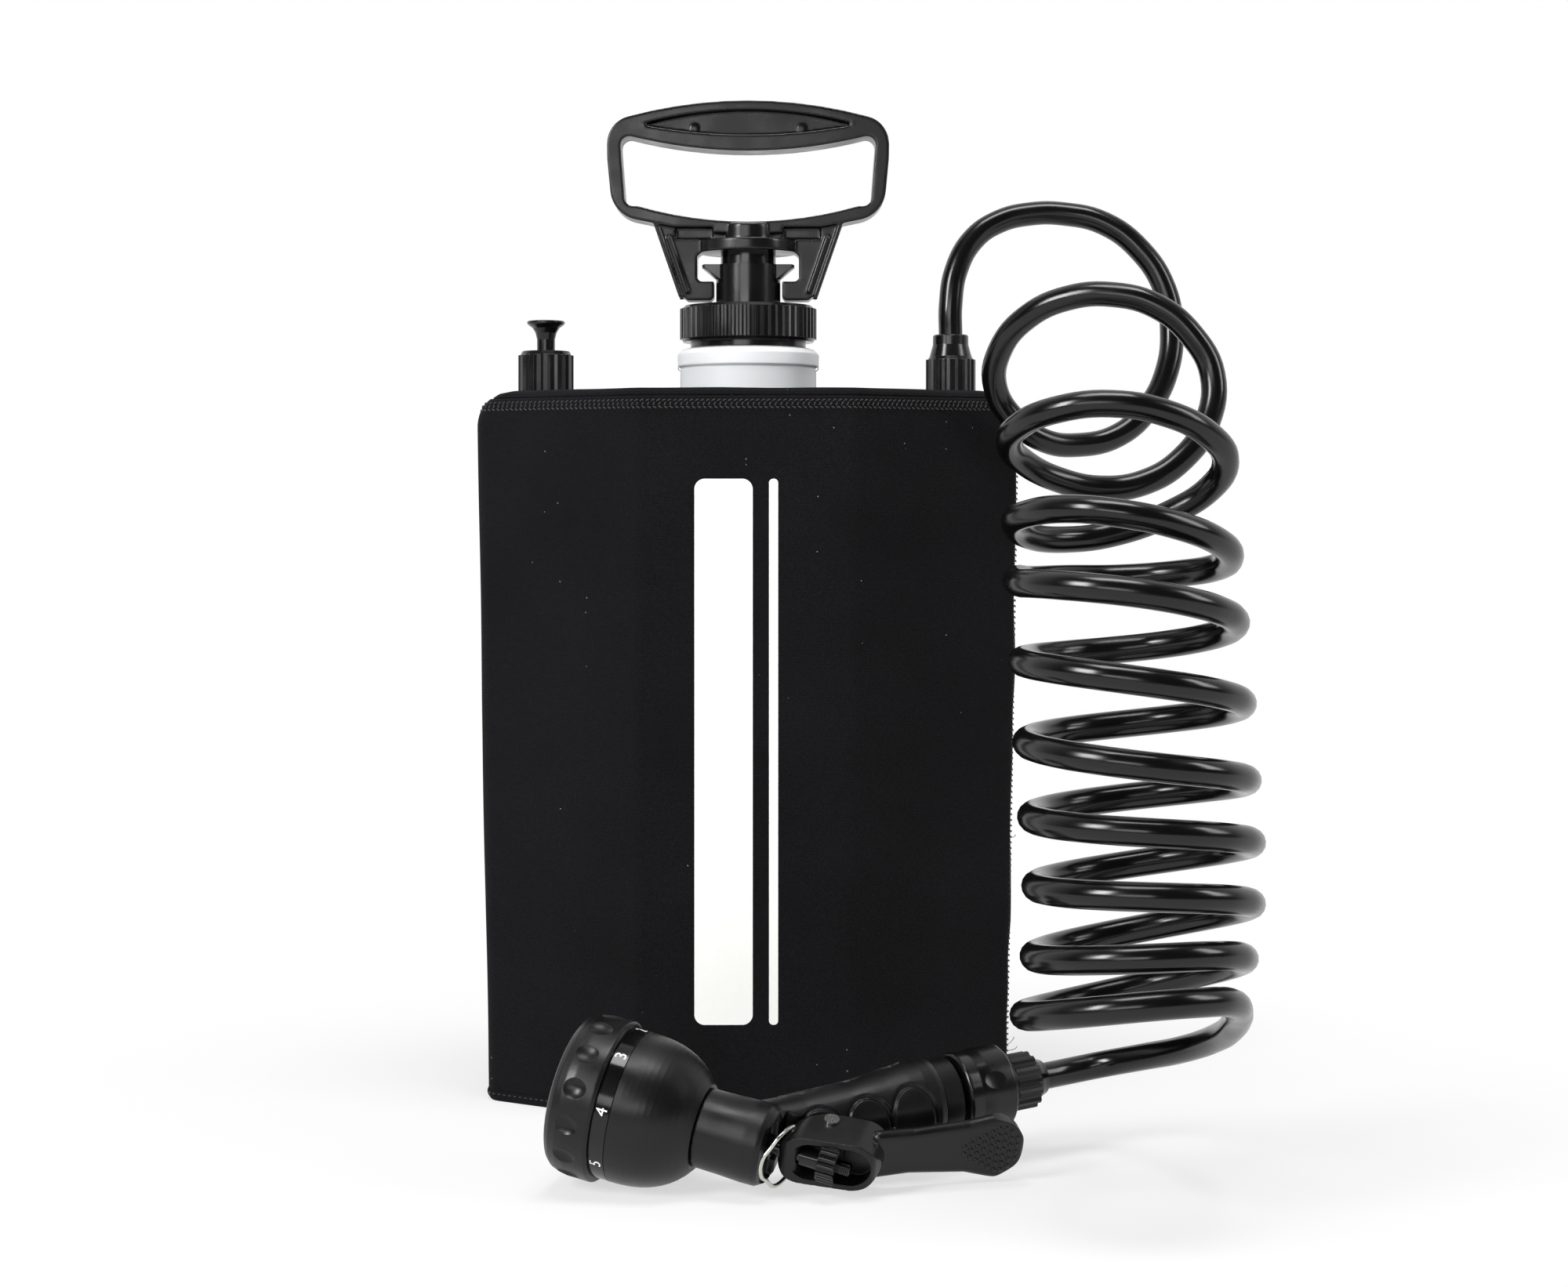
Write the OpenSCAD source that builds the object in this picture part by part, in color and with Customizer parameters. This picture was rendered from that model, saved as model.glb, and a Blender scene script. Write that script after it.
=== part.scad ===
// Portable pump shower: an upright tank in an insulating sleeve, with a hand pump,
// a pull-up relief valve and a coiled hose that ends in a rear-trigger spray nozzle.
// Millimetres, +Z up, origin at the centre of the underside of the sleeve's base.

/* [Sleeve] */
// Width of the sleeve at its top
sleeve_w = 270; // [250:1:300]
// Width of the sleeve at its base
sleeve_w_base = 258; // [240:1:290]
// Depth of the sleeve, front to back
sleeve_d = 124; // [110:1:150]
// Height of the sleeve
sleeve_h = 352; // [320:1:380]
// Thickness of the sleeve's neoprene
sleeve_wall = 3.5; // [2:0.1:5]
// Half-width of the flat centre panel
panel_half = 52; // [40:1:70]
// Half-width of the flat side of the plan
side_half = 20; // [14:1:28]
// Radius of the upright corners
plan_r = 9; // [5:0.5:12]
// Radius of the two top shoulders, seen from the front
shoulder_r = 18; // [12:1:26]
// Radius of the front and back top edges
edge_r = 5; // [4.5:0.5:8]
// Depth of the seam below the top face
seam_drop = 4; // [3.8:0.1:8]

/* [Tank] */
// Wall of the blow-moulded tank
tank_wall = 3; // [2:0.1:5]
// Gap between the tank and its sleeve
tank_gap = 0.3; // [0.1:0.1:1]
// Diameter of the neck's rim
neck_d = 70.7; // [66:0.1:80]
// Height of the neck above the sleeve
neck_rise = 22; // [18:0.5:30]
// Height of the band at the neck's rim
neck_band = 10; // [6:0.5:14]
// Bore of the neck
neck_bore = 52; // [46:0.5:56]
// Width of the ledge inside the neck
neck_ledge = 4; // [3:0.5:6]
// Distance of a side port from the sleeve's side, at half the sleeve's height
port_inset = 30; // [26:1:40]
// Diameter of a side port's threaded boss
port_d = 20; // [18:0.5:21]
// Bore of a side port
port_bore = 12.4; // [11:0.1:13]
// Height of a side port's boss above the tank
port_rise = 8; // [6:0.5:10]

/* [Pump] */
// Outer diameter of the pump barrel
barrel_d = 32.4; // [30:0.1:36]
// Wall of the pump barrel
barrel_wall = 2; // [1.5:0.1:3]
// Height of the barrel's lower end
barrel_foot_z = 180; // [150:1:220]
// Height of the barrel above the sleeve
barrel_rise = 64; // [60:0.5:70]
// Span over the two locking lugs of the barrel
lug_span = 46.6; // [43:0.1:48]
// Half-width of a locking lug
lug_half = 8; // [5:0.5:9]
// Height of a locking lug
lug_h = 8.2; // [6:0.1:9]
// Thickness of the barrel's flange
flange_h = 3.5; // [2:0.1:5]
// Thickness of the neck gasket
gasket_h = 2; // [1:0.1:3]
// Diameter of the knurled collar
collar_d = 68.8; // [64:0.1:74]
// Height of the knurled band
collar_h = 18.2; // [14:0.1:22]
// Height of the plain land under the knurls
collar_land_h = 2.9; // [2:0.1:5]
// Diameter of the plain land
collar_land_d = 58; // [54:0.5:62]
// Number of knurls round the collar
collar_knurls = 56; // [40:1:72]
// Gap between the rod and the barrel's bore
rod_gap = 0.35; // [0.2:0.05:0.6]
// Wall of the hollow pump rod
rod_wall = 2.4; // [1.8:0.1:3]
// Height of the rod's lower end at rest
rod_foot_z = 206; // [200:1:240]

/* [Handle] */
// Width of the D handle
handle_w = 141.2; // [120:1:160]
// Height of the top of the handle above the sleeve
handle_rise = 146; // [138:1:160]
// Depth of the handle's frame, front to back
handle_t = 19; // [14:0.5:26]
// Diameter of the disc under the handle
disc_d = 50; // [46:0.5:54]
// Thickness of the disc under the handle
disc_h = 6; // [4:0.5:7]
// Gap between the barrel's top and the disc
disc_gap = 6; // [5:0.5:9]
// Depth of the lens-shaped pocket in the grip
pocket_deep = 5; // [2:0.5:7]
// Gap between the hooks' toes and the barrel
toe_gap = 0.9; // [0.6:0.1:1.5]

/* [Valve and outlet] */
// Diameter of the relief valve's fluted nut
relief_nut_d = 27.8; // [25:0.1:30]
// Height of the relief valve's nut
relief_nut_h = 24.2; // [22:0.1:28]
// Diameter of the relief valve's pull knob
pull_d = 19; // [15:0.5:22]
// Height of the pull knob above its nut
pull_rise = 15.3; // [12:0.1:20]
// Diameter of the relief valve's stem
relief_stem_d = 9; // [7:0.1:9.4]
// Travel of the relief valve
relief_travel = 4; // [2:0.5:5]
// Diameter of the outlet's fluted nut
outlet_nut_d = 25.1; // [24:0.1:28]
// Height of the outlet's fluted nut
outlet_nut_h = 21.5; // [18:0.1:26]
// Height of the ferrule above the outlet's nut
ferrule_h = 11; // [8:0.5:14]
// Outer diameter of the dip tube
dip_d = 8; // [6:0.5:9]
// Height of the dip tube's filter above the tank's floor
dip_foot = 6; // [3:0.5:12]

/* [Hose] */
// Outer diameter of the hose
hose_d = 12; // [10:0.5:14]

/* [Nozzle head] */
// Diameter of the turning bezel
bezel_d = 70.5; // [66:0.5:76]
// Length of the turning bezel
bezel_len = 21.5; // [19:0.1:26]
// Number of finger dimples round the bezel
bezel_dimples = 14; // [8:1:18]
// Length of the numbered ring
ring_len = 6.9; // [5:0.1:10]
// Diameter of the numbered ring and of the dome
dome_d = 65.4; // [60:0.1:66]
// Length of the dome
dome_len = 33; // [26:0.5:36]
// Wall of the dome
dome_wall = 3; // [2:0.1:4]
// Radius of the body where it meets the dome
neck_r = 18; // [17:0.5:19]

/* [Nozzle grip] */
// Distance along the head's axis where the grip leaves it
grip_x = 49; // [44:0.5:54]
// Angle between the grip and the head's axis
grip_angle = 43; // [41:0.5:45]
// Length of the grip
grip_len = 93; // [88:0.5:100]
// Radius of the grip where it is slimmest
grip_r = 13.5; // [12:0.5:14]
// Radius of the grip's bulge near its end
grip_bulge_r = 19; // [17:0.5:20]
// Radius of the threaded adaptor
adaptor_r = 17.5; // [16:0.5:18.5]
// Length of the threaded adaptor
adaptor_len = 9.5; // [8:0.5:12]
// Radius of the coupler's sliding sleeve
coupler_r = 18.5; // [17:0.5:20]
// Length of the coupler's sliding sleeve
coupler_len = 24; // [20:0.5:28]
// Travel of the coupler's sliding sleeve
coupler_travel = 3; // [2:0.5:3.5]
// Radius of the nozzle's hose nut
hose_nut_r = 12.7; // [11.5:0.1:14]
// Length of the nozzle's hose nut
hose_nut_len = 12; // [10:0.5:14]

/* [Trigger] */
// Distance of the trigger pin along the head's axis
pin_x = 85.8; // [85:0.1:87]
// Distance of the trigger pin below the head's axis
pin_y = 13.5; // [13:0.1:14.5]
// Diameter of the trigger pin
pin_d = 4; // [3:0.1:4.2]
// Half-width of the trigger's two cheeks
cheek_half = 11.5; // [11:0.1:12]
// Thickness of a cheek
cheek_t = 2.6; // [2.2:0.1:2.7]
// Length of the lever from the pin to its tip
lever_len = 86; // [76:1:94]
// Half-width of the lever at its tip
lever_half = 16.5; // [13:0.5:17]
// Thickness of the lever
lever_t = 6.5; // [5:0.5:7]
// Angle of the lever from the head's axis at rest
lever_angle = 32; // [31:0.5:33]
// Diameter of the flow knob
knob_d = 16.4; // [14:0.1:16.6]
// Length of the flow knob
knob_len = 8; // [6:0.5:8]
// Diameter of the valve stem
stem_d = 5.6; // [5:0.1:6]
// Diameter of the lock clip's wire
wire_d = 1.8; // [1.4:0.1:2.2]

/* [Hidden] */

$fn = 64;
fit = 0.3;      // gap between pieces that move past each other
seat = 0.2;     // gap round a piece that is pushed into its seat
eps = 0.01;
slab_h = 0.2;   // thickness of the slabs that the body's form is stretched over

black = [0.06, 0.06, 0.065];
gloss_black = [0.03, 0.03, 0.035];
fabric_black = [0.045, 0.045, 0.05];
white_plastic = [0.90, 0.92, 0.93];
rubber_grey = [0.16, 0.16, 0.17];
steel = [0.75, 0.75, 0.73];

// Levels of the tank, its neck and its ports
tank_z = sleeve_wall;
tank_top = sleeve_h - sleeve_wall - tank_gap;
neck_top = sleeve_h + neck_rise;
neck_r_out = neck_d / 2;
neck_waist = 1.4;
port_top = tank_top + port_rise;
port_x = (sleeve_w + sleeve_w_base) / 4 - port_inset;

// Levels of the pump
gasket_z = tank_top;
flange_z = gasket_z + gasket_h;
spigot_z = flange_z + flange_h + fit;
collar_z = neck_top + fit;
knurl_z = collar_z + collar_land_h;
barrel_top = sleeve_h + barrel_rise;
barrel_r = barrel_d / 2;
barrel_ri = barrel_r - barrel_wall;
rod_r = barrel_ri - rod_gap;
disc_z = barrel_top + disc_gap;
piston_h = 16;

// Levels of the handle
handle_top = sleeve_h + handle_rise;
handle_half = handle_w / 2;

// Levels of the relief valve and the outlet
nut_z = sleeve_h - sleeve_wall;
relief_nut_top = nut_z + relief_nut_h;
outlet_nut_top = nut_z + outlet_nut_h;
hose_exit_z = outlet_nut_top + ferrule_h;
seal_h = 2;

// Place of the nozzle, which lies on its side in front of the tank
nozzle_pos = [-48, -176, 34.3];
nozzle_turn = [20, 12, -15];

// Stations along the nozzle's grip
adaptor_s = grip_len + seat;
sleeve_s = adaptor_s + adaptor_len + 2.3;
hose_nut_s = sleeve_s + coupler_len + coupler_travel + 0.8;
nose_s = hose_nut_s + hose_nut_len;
nose_len = 6;

// Stations along the head's axis
valve_seat_x = 43.9;
chamber_end = 57;
seal_x = 59.2;
gland_x = 61.2;
gland_len = 3.4;
cave_x = 63;
body_end = 66.5;
bar_r = 5;
bar_x = pin_x - 13.3;
bar_top = 9.2;
hub_x = bar_x + bar_r + fit;
knob_x = pin_x + 0.4;
ring_end = pin_x + 25;

// A ring of points: n teeth between the radii r_low and r_high
function flute_points(n, r_low, r_high, land = 0.3) = [
    for (i = [0 : n - 1], j = [0 : 3])
        let (share = [0, land, 0.5, 0.5 + land][j], a = 360 * (i + share) / n,
             r = j < 2 ? r_high : r_low)
            [r * cos(a), r * sin(a)]];

// Points of a circular arc
function arc(c, r, a0, a1, n = 12) = [
    for (i = [0 : n]) let (a = a0 + (a1 - a0) * i / n) [c[0] + r * cos(a), c[1] + r * sin(a)]];

// Radius of an arc from its half-chord and its rise
function bow_r(half, rise) = (half * half + rise * rise) / (2 * rise);

// A ring of teeth as a solid of the height h
module fluted(n, r_low, r_high, h) {
    linear_extrude(h) polygon(flute_points(n, r_low, r_high));
}

// A tube on the Z axis
module tube(r_out, r_in, z0, z1) {
    translate([0, 0, z0]) difference() {
        cylinder(r = r_out, h = z1 - z0);
        translate([0, 0, -1]) cylinder(r = r_in, h = z1 - z0 + 2);
    }
}

// A body of revolution about the X axis, from points given as [x, radius]
module turned_x(points) {
    rotate([0, 90, 0]) rotate_extrude() polygon([for (p = points) [p[1], p[0]]]);
}

// The side direction of the ring at point i, carried along the path from the one before
function side_at(path, i, s) = let (n = len(path), j = min(i, n - 1),
    d = path[min(j + 1, n - 1)] - path[max(j - 1, 0)], t = d / norm(d), p = s - (s * t) * t) p / norm(p);

// A plain tube swept through a list of points, with round rings of a few sides
module swept(path, r, sides = 8) {
    n = len(path);
    side_list = [for (i = 0, s = side_at(path, 0, [0.2, 0.9, 0.4]); i < n; i = i + 1, s = side_at(path, i, s)) s];
    ring_points = [for (i = [0 : n - 1])
        let (d = path[min(i + 1, n - 1)] - path[max(i - 1, 0)], s = side_list[i], u = cross(s, d / norm(d)))
            for (k = [0 : sides - 1]) let (a = 360 * k / sides)
                path[i] + r * (cos(a) * s + sin(a) * u)];
    side_faces = [for (i = [0 : n - 2], k = [0 : sides - 1]) let (m = (k + 1) % sides)
        each [[i * sides + k, (i + 1) * sides + m, (i + 1) * sides + k],
              [i * sides + k, i * sides + m, (i + 1) * sides + m]]];
    polyhedron(ring_points, concat(side_faces, [[for (k = [sides - 1 : -1 : 0]) k]],
        [[for (k = [0 : sides - 1]) (n - 1) * sides + k]]));
}

// A coil spring on the Z axis with its wire swept along a helix
module spring(r, wire_r, h, turns) {
    steps = turns * 12;
    swept([for (i = [0 : steps]) let (a = 360 * i / 12)
        [r * cos(a), r * sin(a), wire_r + (h - 2 * wire_r) * i / steps]], wire_r, 6);
}

// The sleeve's hexagonal plan as a thin slab with round corners
module plan_slab(w, d, z) {
    r = plan_r;
    for (sx = [-1, 1], sy = [-1, 1]) {
        translate([sx * (w / 2 - r), sy * (side_half - 0.6 * r), z]) cylinder(r = r, h = slab_h, $fn = 32);
        translate([sx * (panel_half - 0.24 * r), sy * (d / 2 - r), z]) cylinder(r = r, h = slab_h, $fn = 32);
    }
}

// The outer form, drawn in by t on every side, from the height z0 up
module outer_form(t, z0) {
    top = sleeve_h - t;
    rs = shoulder_r - t;
    re = edge_r - t;
    d = sleeve_d - 2 * t;
    w_of = (sleeve_w - sleeve_w_base) / sleeve_h;
    hull() {
        plan_slab(sleeve_w_base - 2 * t - 3, d - 3, z0);
        plan_slab(sleeve_w_base + w_of * (z0 + 3) - 2 * t, d, z0 + 3);
        for (a = [0 : 22.5 : 90]) {
            z = top - rs + rs * sin(a) - slab_h;
            re_a = max(re - (top - z), 0);
            plan_slab(sleeve_w_base + w_of * z - 2 * t - 2 * rs * (1 - cos(a)),
                d - 2 * (re_a > 0 ? re - sqrt(max(re * re - re_a * re_a, 0)) : 0), z);
        }
    }
}

module tank() color(white_plastic) {
    inner = sleeve_wall + tank_gap;
    difference() {
        union() {
            outer_form(inner, tank_z);
            rotate_extrude() polygon([[0, tank_top - 1], [neck_r_out - neck_waist, tank_top - 1],
                [neck_r_out - neck_waist, neck_top - neck_band], [neck_r_out, neck_top - neck_band + 1],
                [neck_r_out, neck_top - 3], [neck_r_out - 2, neck_top - 0.8],
                [neck_r_out - 5, neck_top], [0, neck_top]]);
            for (s = [-1, 1]) translate([s * port_x, 0, tank_top - 1]) cylinder(d = port_d, h = port_rise + 1);
        }
        outer_form(inner + tank_wall, tank_z + tank_wall);
        translate([0, 0, tank_top]) cylinder(d = neck_bore, h = neck_rise + 20);
        translate([0, 0, tank_top - tank_wall - 5]) cylinder(d = neck_bore - 2 * neck_ledge, h = 40);
        for (s = [-1, 1]) translate([s * port_x, 0, tank_top - tank_wall - 5]) cylinder(d = port_bore, h = 40);
    }
}

module sleeve_wrap() color(fabric_black) {
    difference() {
        outer_form(0, 0);
        outer_form(sleeve_wall, sleeve_wall - 1);
        translate([-sleeve_w, -sleeve_d, -1]) cube([2 * sleeve_w, 2 * sleeve_d, 1 + sleeve_wall]);
        translate([-sleeve_w, -sleeve_d, sleeve_h - seam_drop]) cube([2 * sleeve_w, 2 * sleeve_d, 50]);
    }
}

module sleeve_top() color(fabric_black) {
    difference() {
        outer_form(0, 0);
        outer_form(sleeve_wall, sleeve_wall);
        translate([-sleeve_w, -sleeve_d, -1]) cube([2 * sleeve_w, 2 * sleeve_d, 1 + sleeve_h - seam_drop]);
        translate([0, 0, sleeve_h - 20]) cylinder(r = neck_r_out - neck_waist + seat, h = 40);
        translate([-port_x, 0, sleeve_h - 20]) cylinder(d = relief_nut_d + 2 * fit, h = 40);
        translate([port_x, 0, sleeve_h - 20]) cylinder(d = outlet_nut_d + 2 * fit, h = 40);
    }
}

module sleeve_base() color(fabric_black) {
    intersection() {
        outer_form(0, 0);
        translate([-sleeve_w, -sleeve_d, 0]) cube([2 * sleeve_w, 2 * sleeve_d, sleeve_wall]);
    }
}

module neck_gasket() color(rubber_grey)
    tube(neck_bore / 2 - seat, neck_bore / 2 - neck_ledge, gasket_z, gasket_z + gasket_h);

module pump_barrel() color(black) {
    lug_r = lug_span / 2;
    difference() {
        union() {
            translate([0, 0, barrel_foot_z]) cylinder(r = barrel_r, h = barrel_top - barrel_foot_z);
            translate([0, 0, flange_z]) cylinder(r = neck_bore / 2 - fit, h = flange_h);
            intersection() {
                rotate_extrude() polygon([[barrel_r - 1, barrel_top], [lug_r, barrel_top],
                    [lug_r, barrel_top - 1.4], [barrel_r - 1, barrel_top - lug_h]]);
                translate([-lug_span, -lug_half, barrel_top - 20]) cube([2 * lug_span, 2 * lug_half, 30]);
            }
        }
        translate([0, 0, barrel_foot_z + 4]) cylinder(r = barrel_ri, h = barrel_top);
        translate([0, 0, barrel_foot_z - 1]) cylinder(r = 4, h = 20);
    }
}

module foot_valve() color(rubber_grey) {
    tube(barrel_r - 3, 2.5, barrel_foot_z - 2, barrel_foot_z);
    translate([0, 0, barrel_foot_z - 5]) cylinder(r = 9, h = 3);
}

module pump_collar() color(black) {
    difference() {
        union() {
            translate([0, 0, knurl_z + 1.5]) fluted(collar_knurls, collar_d / 2 - 0.8, collar_d / 2, collar_h - 3);
            translate([0, 0, knurl_z]) cylinder(r1 = collar_d / 2 - 1.6, r2 = collar_d / 2 - 0.8, h = 1.5 + eps);
            translate([0, 0, knurl_z + collar_h - 1.5 - eps])
                cylinder(r1 = collar_d / 2 - 0.8, r2 = collar_d / 2 - 2.4, h = 1.5 + eps);
            translate([0, 0, collar_z]) cylinder(d = collar_land_d, h = collar_land_h + 1);
            translate([0, 0, spigot_z]) cylinder(r = neck_bore / 2 - fit, h = collar_z - spigot_z + 1);
        }
        translate([0, 0, spigot_z - 1]) cylinder(r = barrel_r + fit, h = 100);
    }
}

module pump_rod() color(black) {
    difference() {
        translate([0, 0, rod_foot_z]) cylinder(r = rod_r, h = disc_z - rod_foot_z);
        translate([0, 0, rod_foot_z - 1]) cylinder(r = rod_r - rod_wall, h = disc_z - rod_foot_z - 5);
    }
}

module piston() color(black) {
    groove_z = rod_foot_z - 8;
    difference() {
        union() {
            translate([0, 0, rod_foot_z - piston_h]) cylinder(r = rod_r, h = piston_h);
            translate([0, 0, rod_foot_z - 1]) cylinder(r = rod_r - rod_wall - fit, h = 9);
        }
        tube(rod_r + 2, rod_r - 2, groove_z - 1.6, groove_z + 1.6);
    }
}

module piston_seal() color(rubber_grey)
    tube(barrel_ri - 0.1, rod_r - 2 + 0.1, rod_foot_z - 9.4, rod_foot_z - 6.6);

// Outline of the D handle: round ends between a bowed top and a bowed bottom
module handle_outline() {
    top_r = bow_r(handle_half - 7, 9);
    low_r = 200;
    hull() {
        polygon(arc([0, handle_top - top_r], top_r, 72, 108));
        polygon(arc([0, handle_top - 67 + low_r], low_r, -104, -76));
        for (s = [-1, 1]) {
            translate([s * (handle_half - 18), handle_top - 28]) circle(r = 18);
            translate([s * (handle_half - 17.5), handle_top - 44]) circle(r = 16);
        }
    }
}

// The hand opening of the D handle, with round corners
module handle_window() {
    under_r = bow_r(handle_half - 10.8, 7.5);
    low_r = 200;
    offset(r = 4.5) offset(delta = -4.5) difference() {
        polygon(concat([[-handle_half + 6.2, handle_top - 16], [handle_half - 6.2, handle_top - 16],
            [handle_half - 9, handle_top - 53]], arc([0, handle_top - 60.7 + low_r], low_r, -74, -106),
            [[-handle_half + 9, handle_top - 53]]));
        translate([0, handle_top - 25.2 + under_r]) circle(r = under_r, $fn = 200);
    }
}

// The bracket with two hooks that grip the barrel's lugs
module hook_bracket() {
    toe_r = barrel_r + toe_gap;
    toe_top = barrel_top - lug_h - 0.4;
    toe_low = toe_top - 9.4;
    inner_x = lug_span / 2 + 2.2;
    for (s = [-1, 1]) scale([s, 1]) polygon([[0, disc_z], [inner_x - 2, disc_z], [inner_x, disc_z - 2],
        [inner_x, toe_top + 1.5], [inner_x - 1.5, toe_top], [toe_r, toe_top], [toe_r, toe_low + 1.5],
        [toe_r + 1.5, toe_low], [inner_x + 5, toe_low], [inner_x + 7.5, toe_low + 2.2],
        [inner_x + 16.5, disc_z + 6], [inner_x + 19, disc_z + 10.5], [inner_x + 22, disc_z + 14.5],
        [0, disc_z + 14.5]]);
}

module pump_handle() color(black) {
    lens_half = handle_half - 16.5;
    lens_z = handle_top - 12;
    lens_top_r = bow_r(lens_half, 7.3);
    lens_low_r = bow_r(lens_half, 5.2);
    boss_top = handle_top - 62;
    difference() {
        union() {
            rotate([90, 0, 0]) linear_extrude(handle_t, center = true) difference() {
                handle_outline();
                handle_window();
            }
            rotate([90, 0, 0]) linear_extrude(2 * lug_half, center = true) hook_bracket();
            translate([0, 0, disc_z]) cylinder(d = disc_d, h = disc_h);
            translate([0, 0, disc_z]) cylinder(r = rod_r, h = boss_top - disc_z);
        }
        // Pockets that core out the grip, front and back
        for (s = [-1, 1]) translate([0, s * (handle_t / 2 - pocket_deep + 10), 0])
            rotate([90, 0, 0]) linear_extrude(20, center = true) intersection() {
                translate([0, lens_z + 7.3 - lens_top_r]) circle(r = lens_top_r, $fn = 200);
                translate([0, lens_z - 5.2 + lens_low_r]) circle(r = lens_low_r, $fn = 200);
            }
        // Pockets in the bracket, each side of the boss
        for (sx = [-1, 1], sy = [-1, 1])
            translate([sx * 27 - 9.5, sy * (lug_half + 7) - 10, disc_z + disc_h + 0.5]) cube([19, 20, 6]);
    }
}

// Relief valve
module relief_nut() color(black) translate([-port_x, 0, 0]) {
    difference() {
        union() {
            translate([0, 0, nut_z]) fluted(12, relief_nut_d / 2 - 0.9, relief_nut_d / 2, relief_nut_h - 2);
            translate([0, 0, relief_nut_top - 2 - eps])
                cylinder(r1 = relief_nut_d / 2 - 1, r2 = relief_nut_d / 2 - 2, h = 2 + eps);
        }
        translate([0, 0, nut_z - 1]) cylinder(r = port_d / 2 + fit, h = relief_nut_h + 1 - 4);
        translate([0, 0, nut_z]) cylinder(r = relief_stem_d / 2 + fit, h = 40);
    }
}

module relief_stem() color(gloss_black) translate([-port_x, 0, 0]) {
    r = relief_stem_d / 2;
    top = relief_nut_top + pull_rise;
    rotate_extrude() polygon([[0, port_top + seal_h], [port_d / 2 - 1.2, port_top + seal_h],
        [port_d / 2 - 1.2, port_top + seal_h + 1.5], [r + 0.8, port_top + seal_h + 1.5],
        [r + 0.8, relief_nut_top - 4 - relief_travel - fit], [r, relief_nut_top - 4 - relief_travel - fit],
        [r, relief_nut_top + 6],
        [r + 0.8, top - 6], [r + 2.2, top - 3.6], [pull_d / 2 - 0.4, top - 1.8], [pull_d / 2, top - 1.2],
        [pull_d / 2, top - 0.5], [pull_d / 2 - 0.5, top], [0, top]]);
}

module relief_seal() color(rubber_grey) translate([-port_x, 0, 0])
    translate([0, 0, port_top]) cylinder(r = port_d / 2 - 1.2, h = seal_h);

module relief_spring() color(steel) {
    z0 = port_top + seal_h + 1.5;
    translate([-port_x, 0, z0]) spring(relief_stem_d / 2 + 1.6, 0.5, relief_nut_top - 4 - z0, 4);
}

// Outlet and dip tube
module outlet_fitting() color(black) translate([port_x, 0, 0]) {
    flange_low = port_top + seal_h;
    difference() {
        union() {
            translate([0, 0, flange_low]) cylinder(d = port_d - 0.6, h = 2.5);
            translate([0, 0, tank_top - 20]) cylinder(d = port_bore - 2 * seat, h = flange_low - tank_top + 21);
            translate([0, 0, flange_low + 2]) cylinder(r = 3.8, h = hose_exit_z - flange_low - 2);
        }
        translate([0, 0, tank_top - 30]) cylinder(r = 2.4, h = 100);
        translate([0, 0, tank_top - 21]) cylinder(d = dip_d + 2 * seat, h = 13);
    }
}

module outlet_gasket() color(rubber_grey) translate([port_x, 0, 0])
    tube(port_d / 2 - 0.3, port_bore / 2, port_top, port_top + seal_h);

module outlet_nut() color(black) translate([port_x, 0, 0]) {
    difference() {
        union() {
            translate([0, 0, nut_z]) fluted(14, outlet_nut_d / 2 - 0.9, outlet_nut_d / 2, outlet_nut_h - 1.5);
            translate([0, 0, outlet_nut_top - 1.5 - eps])
                cylinder(r1 = outlet_nut_d / 2 - 1, r2 = outlet_nut_d / 2 - 1.8, h = 1.5 + eps);
        }
        translate([0, 0, nut_z - 1]) cylinder(r = port_d / 2 + fit, h = port_top + seal_h + 3.8 - nut_z);
        translate([0, 0, nut_z]) cylinder(r = 4, h = 60);
    }
}

module hose_ferrule() color(gloss_black) translate([port_x, 0, 0]) {
    difference() {
        rotate_extrude() polygon([[0, outlet_nut_top], [outlet_nut_d / 2 - 1.9, outlet_nut_top],
            [hose_d / 2 + 3, outlet_nut_top + ferrule_h - 5], [hose_d / 2 + 2.9, hose_exit_z - 0.6],
            [hose_d / 2 + 2.3, hose_exit_z], [0, hose_exit_z]]);
        translate([0, 0, outlet_nut_top - 1]) cylinder(r = 4, h = ferrule_h + 2);
    }
}

module dip_tube() color(white_plastic) translate([port_x, 0, 0])
    tube(dip_d / 2, dip_d / 2 - 1.2, tank_z + tank_wall + dip_foot + 12, tank_top - 8);

module dip_filter() color(rubber_grey) translate([port_x, 0, tank_z + tank_wall + dip_foot]) {
    difference() {
        cylinder(d = dip_d + 5, h = 18);
        translate([0, 0, 12]) cylinder(d = dip_d + 2 * seat, h = 10);
        translate([0, 0, -1]) cylinder(d = dip_d - 1, h = 20);
        for (a = [0 : 45 : 135]) rotate(a) translate([-20, -0.9, 2]) cube([40, 1.8, 8]);
    }
}

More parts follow.
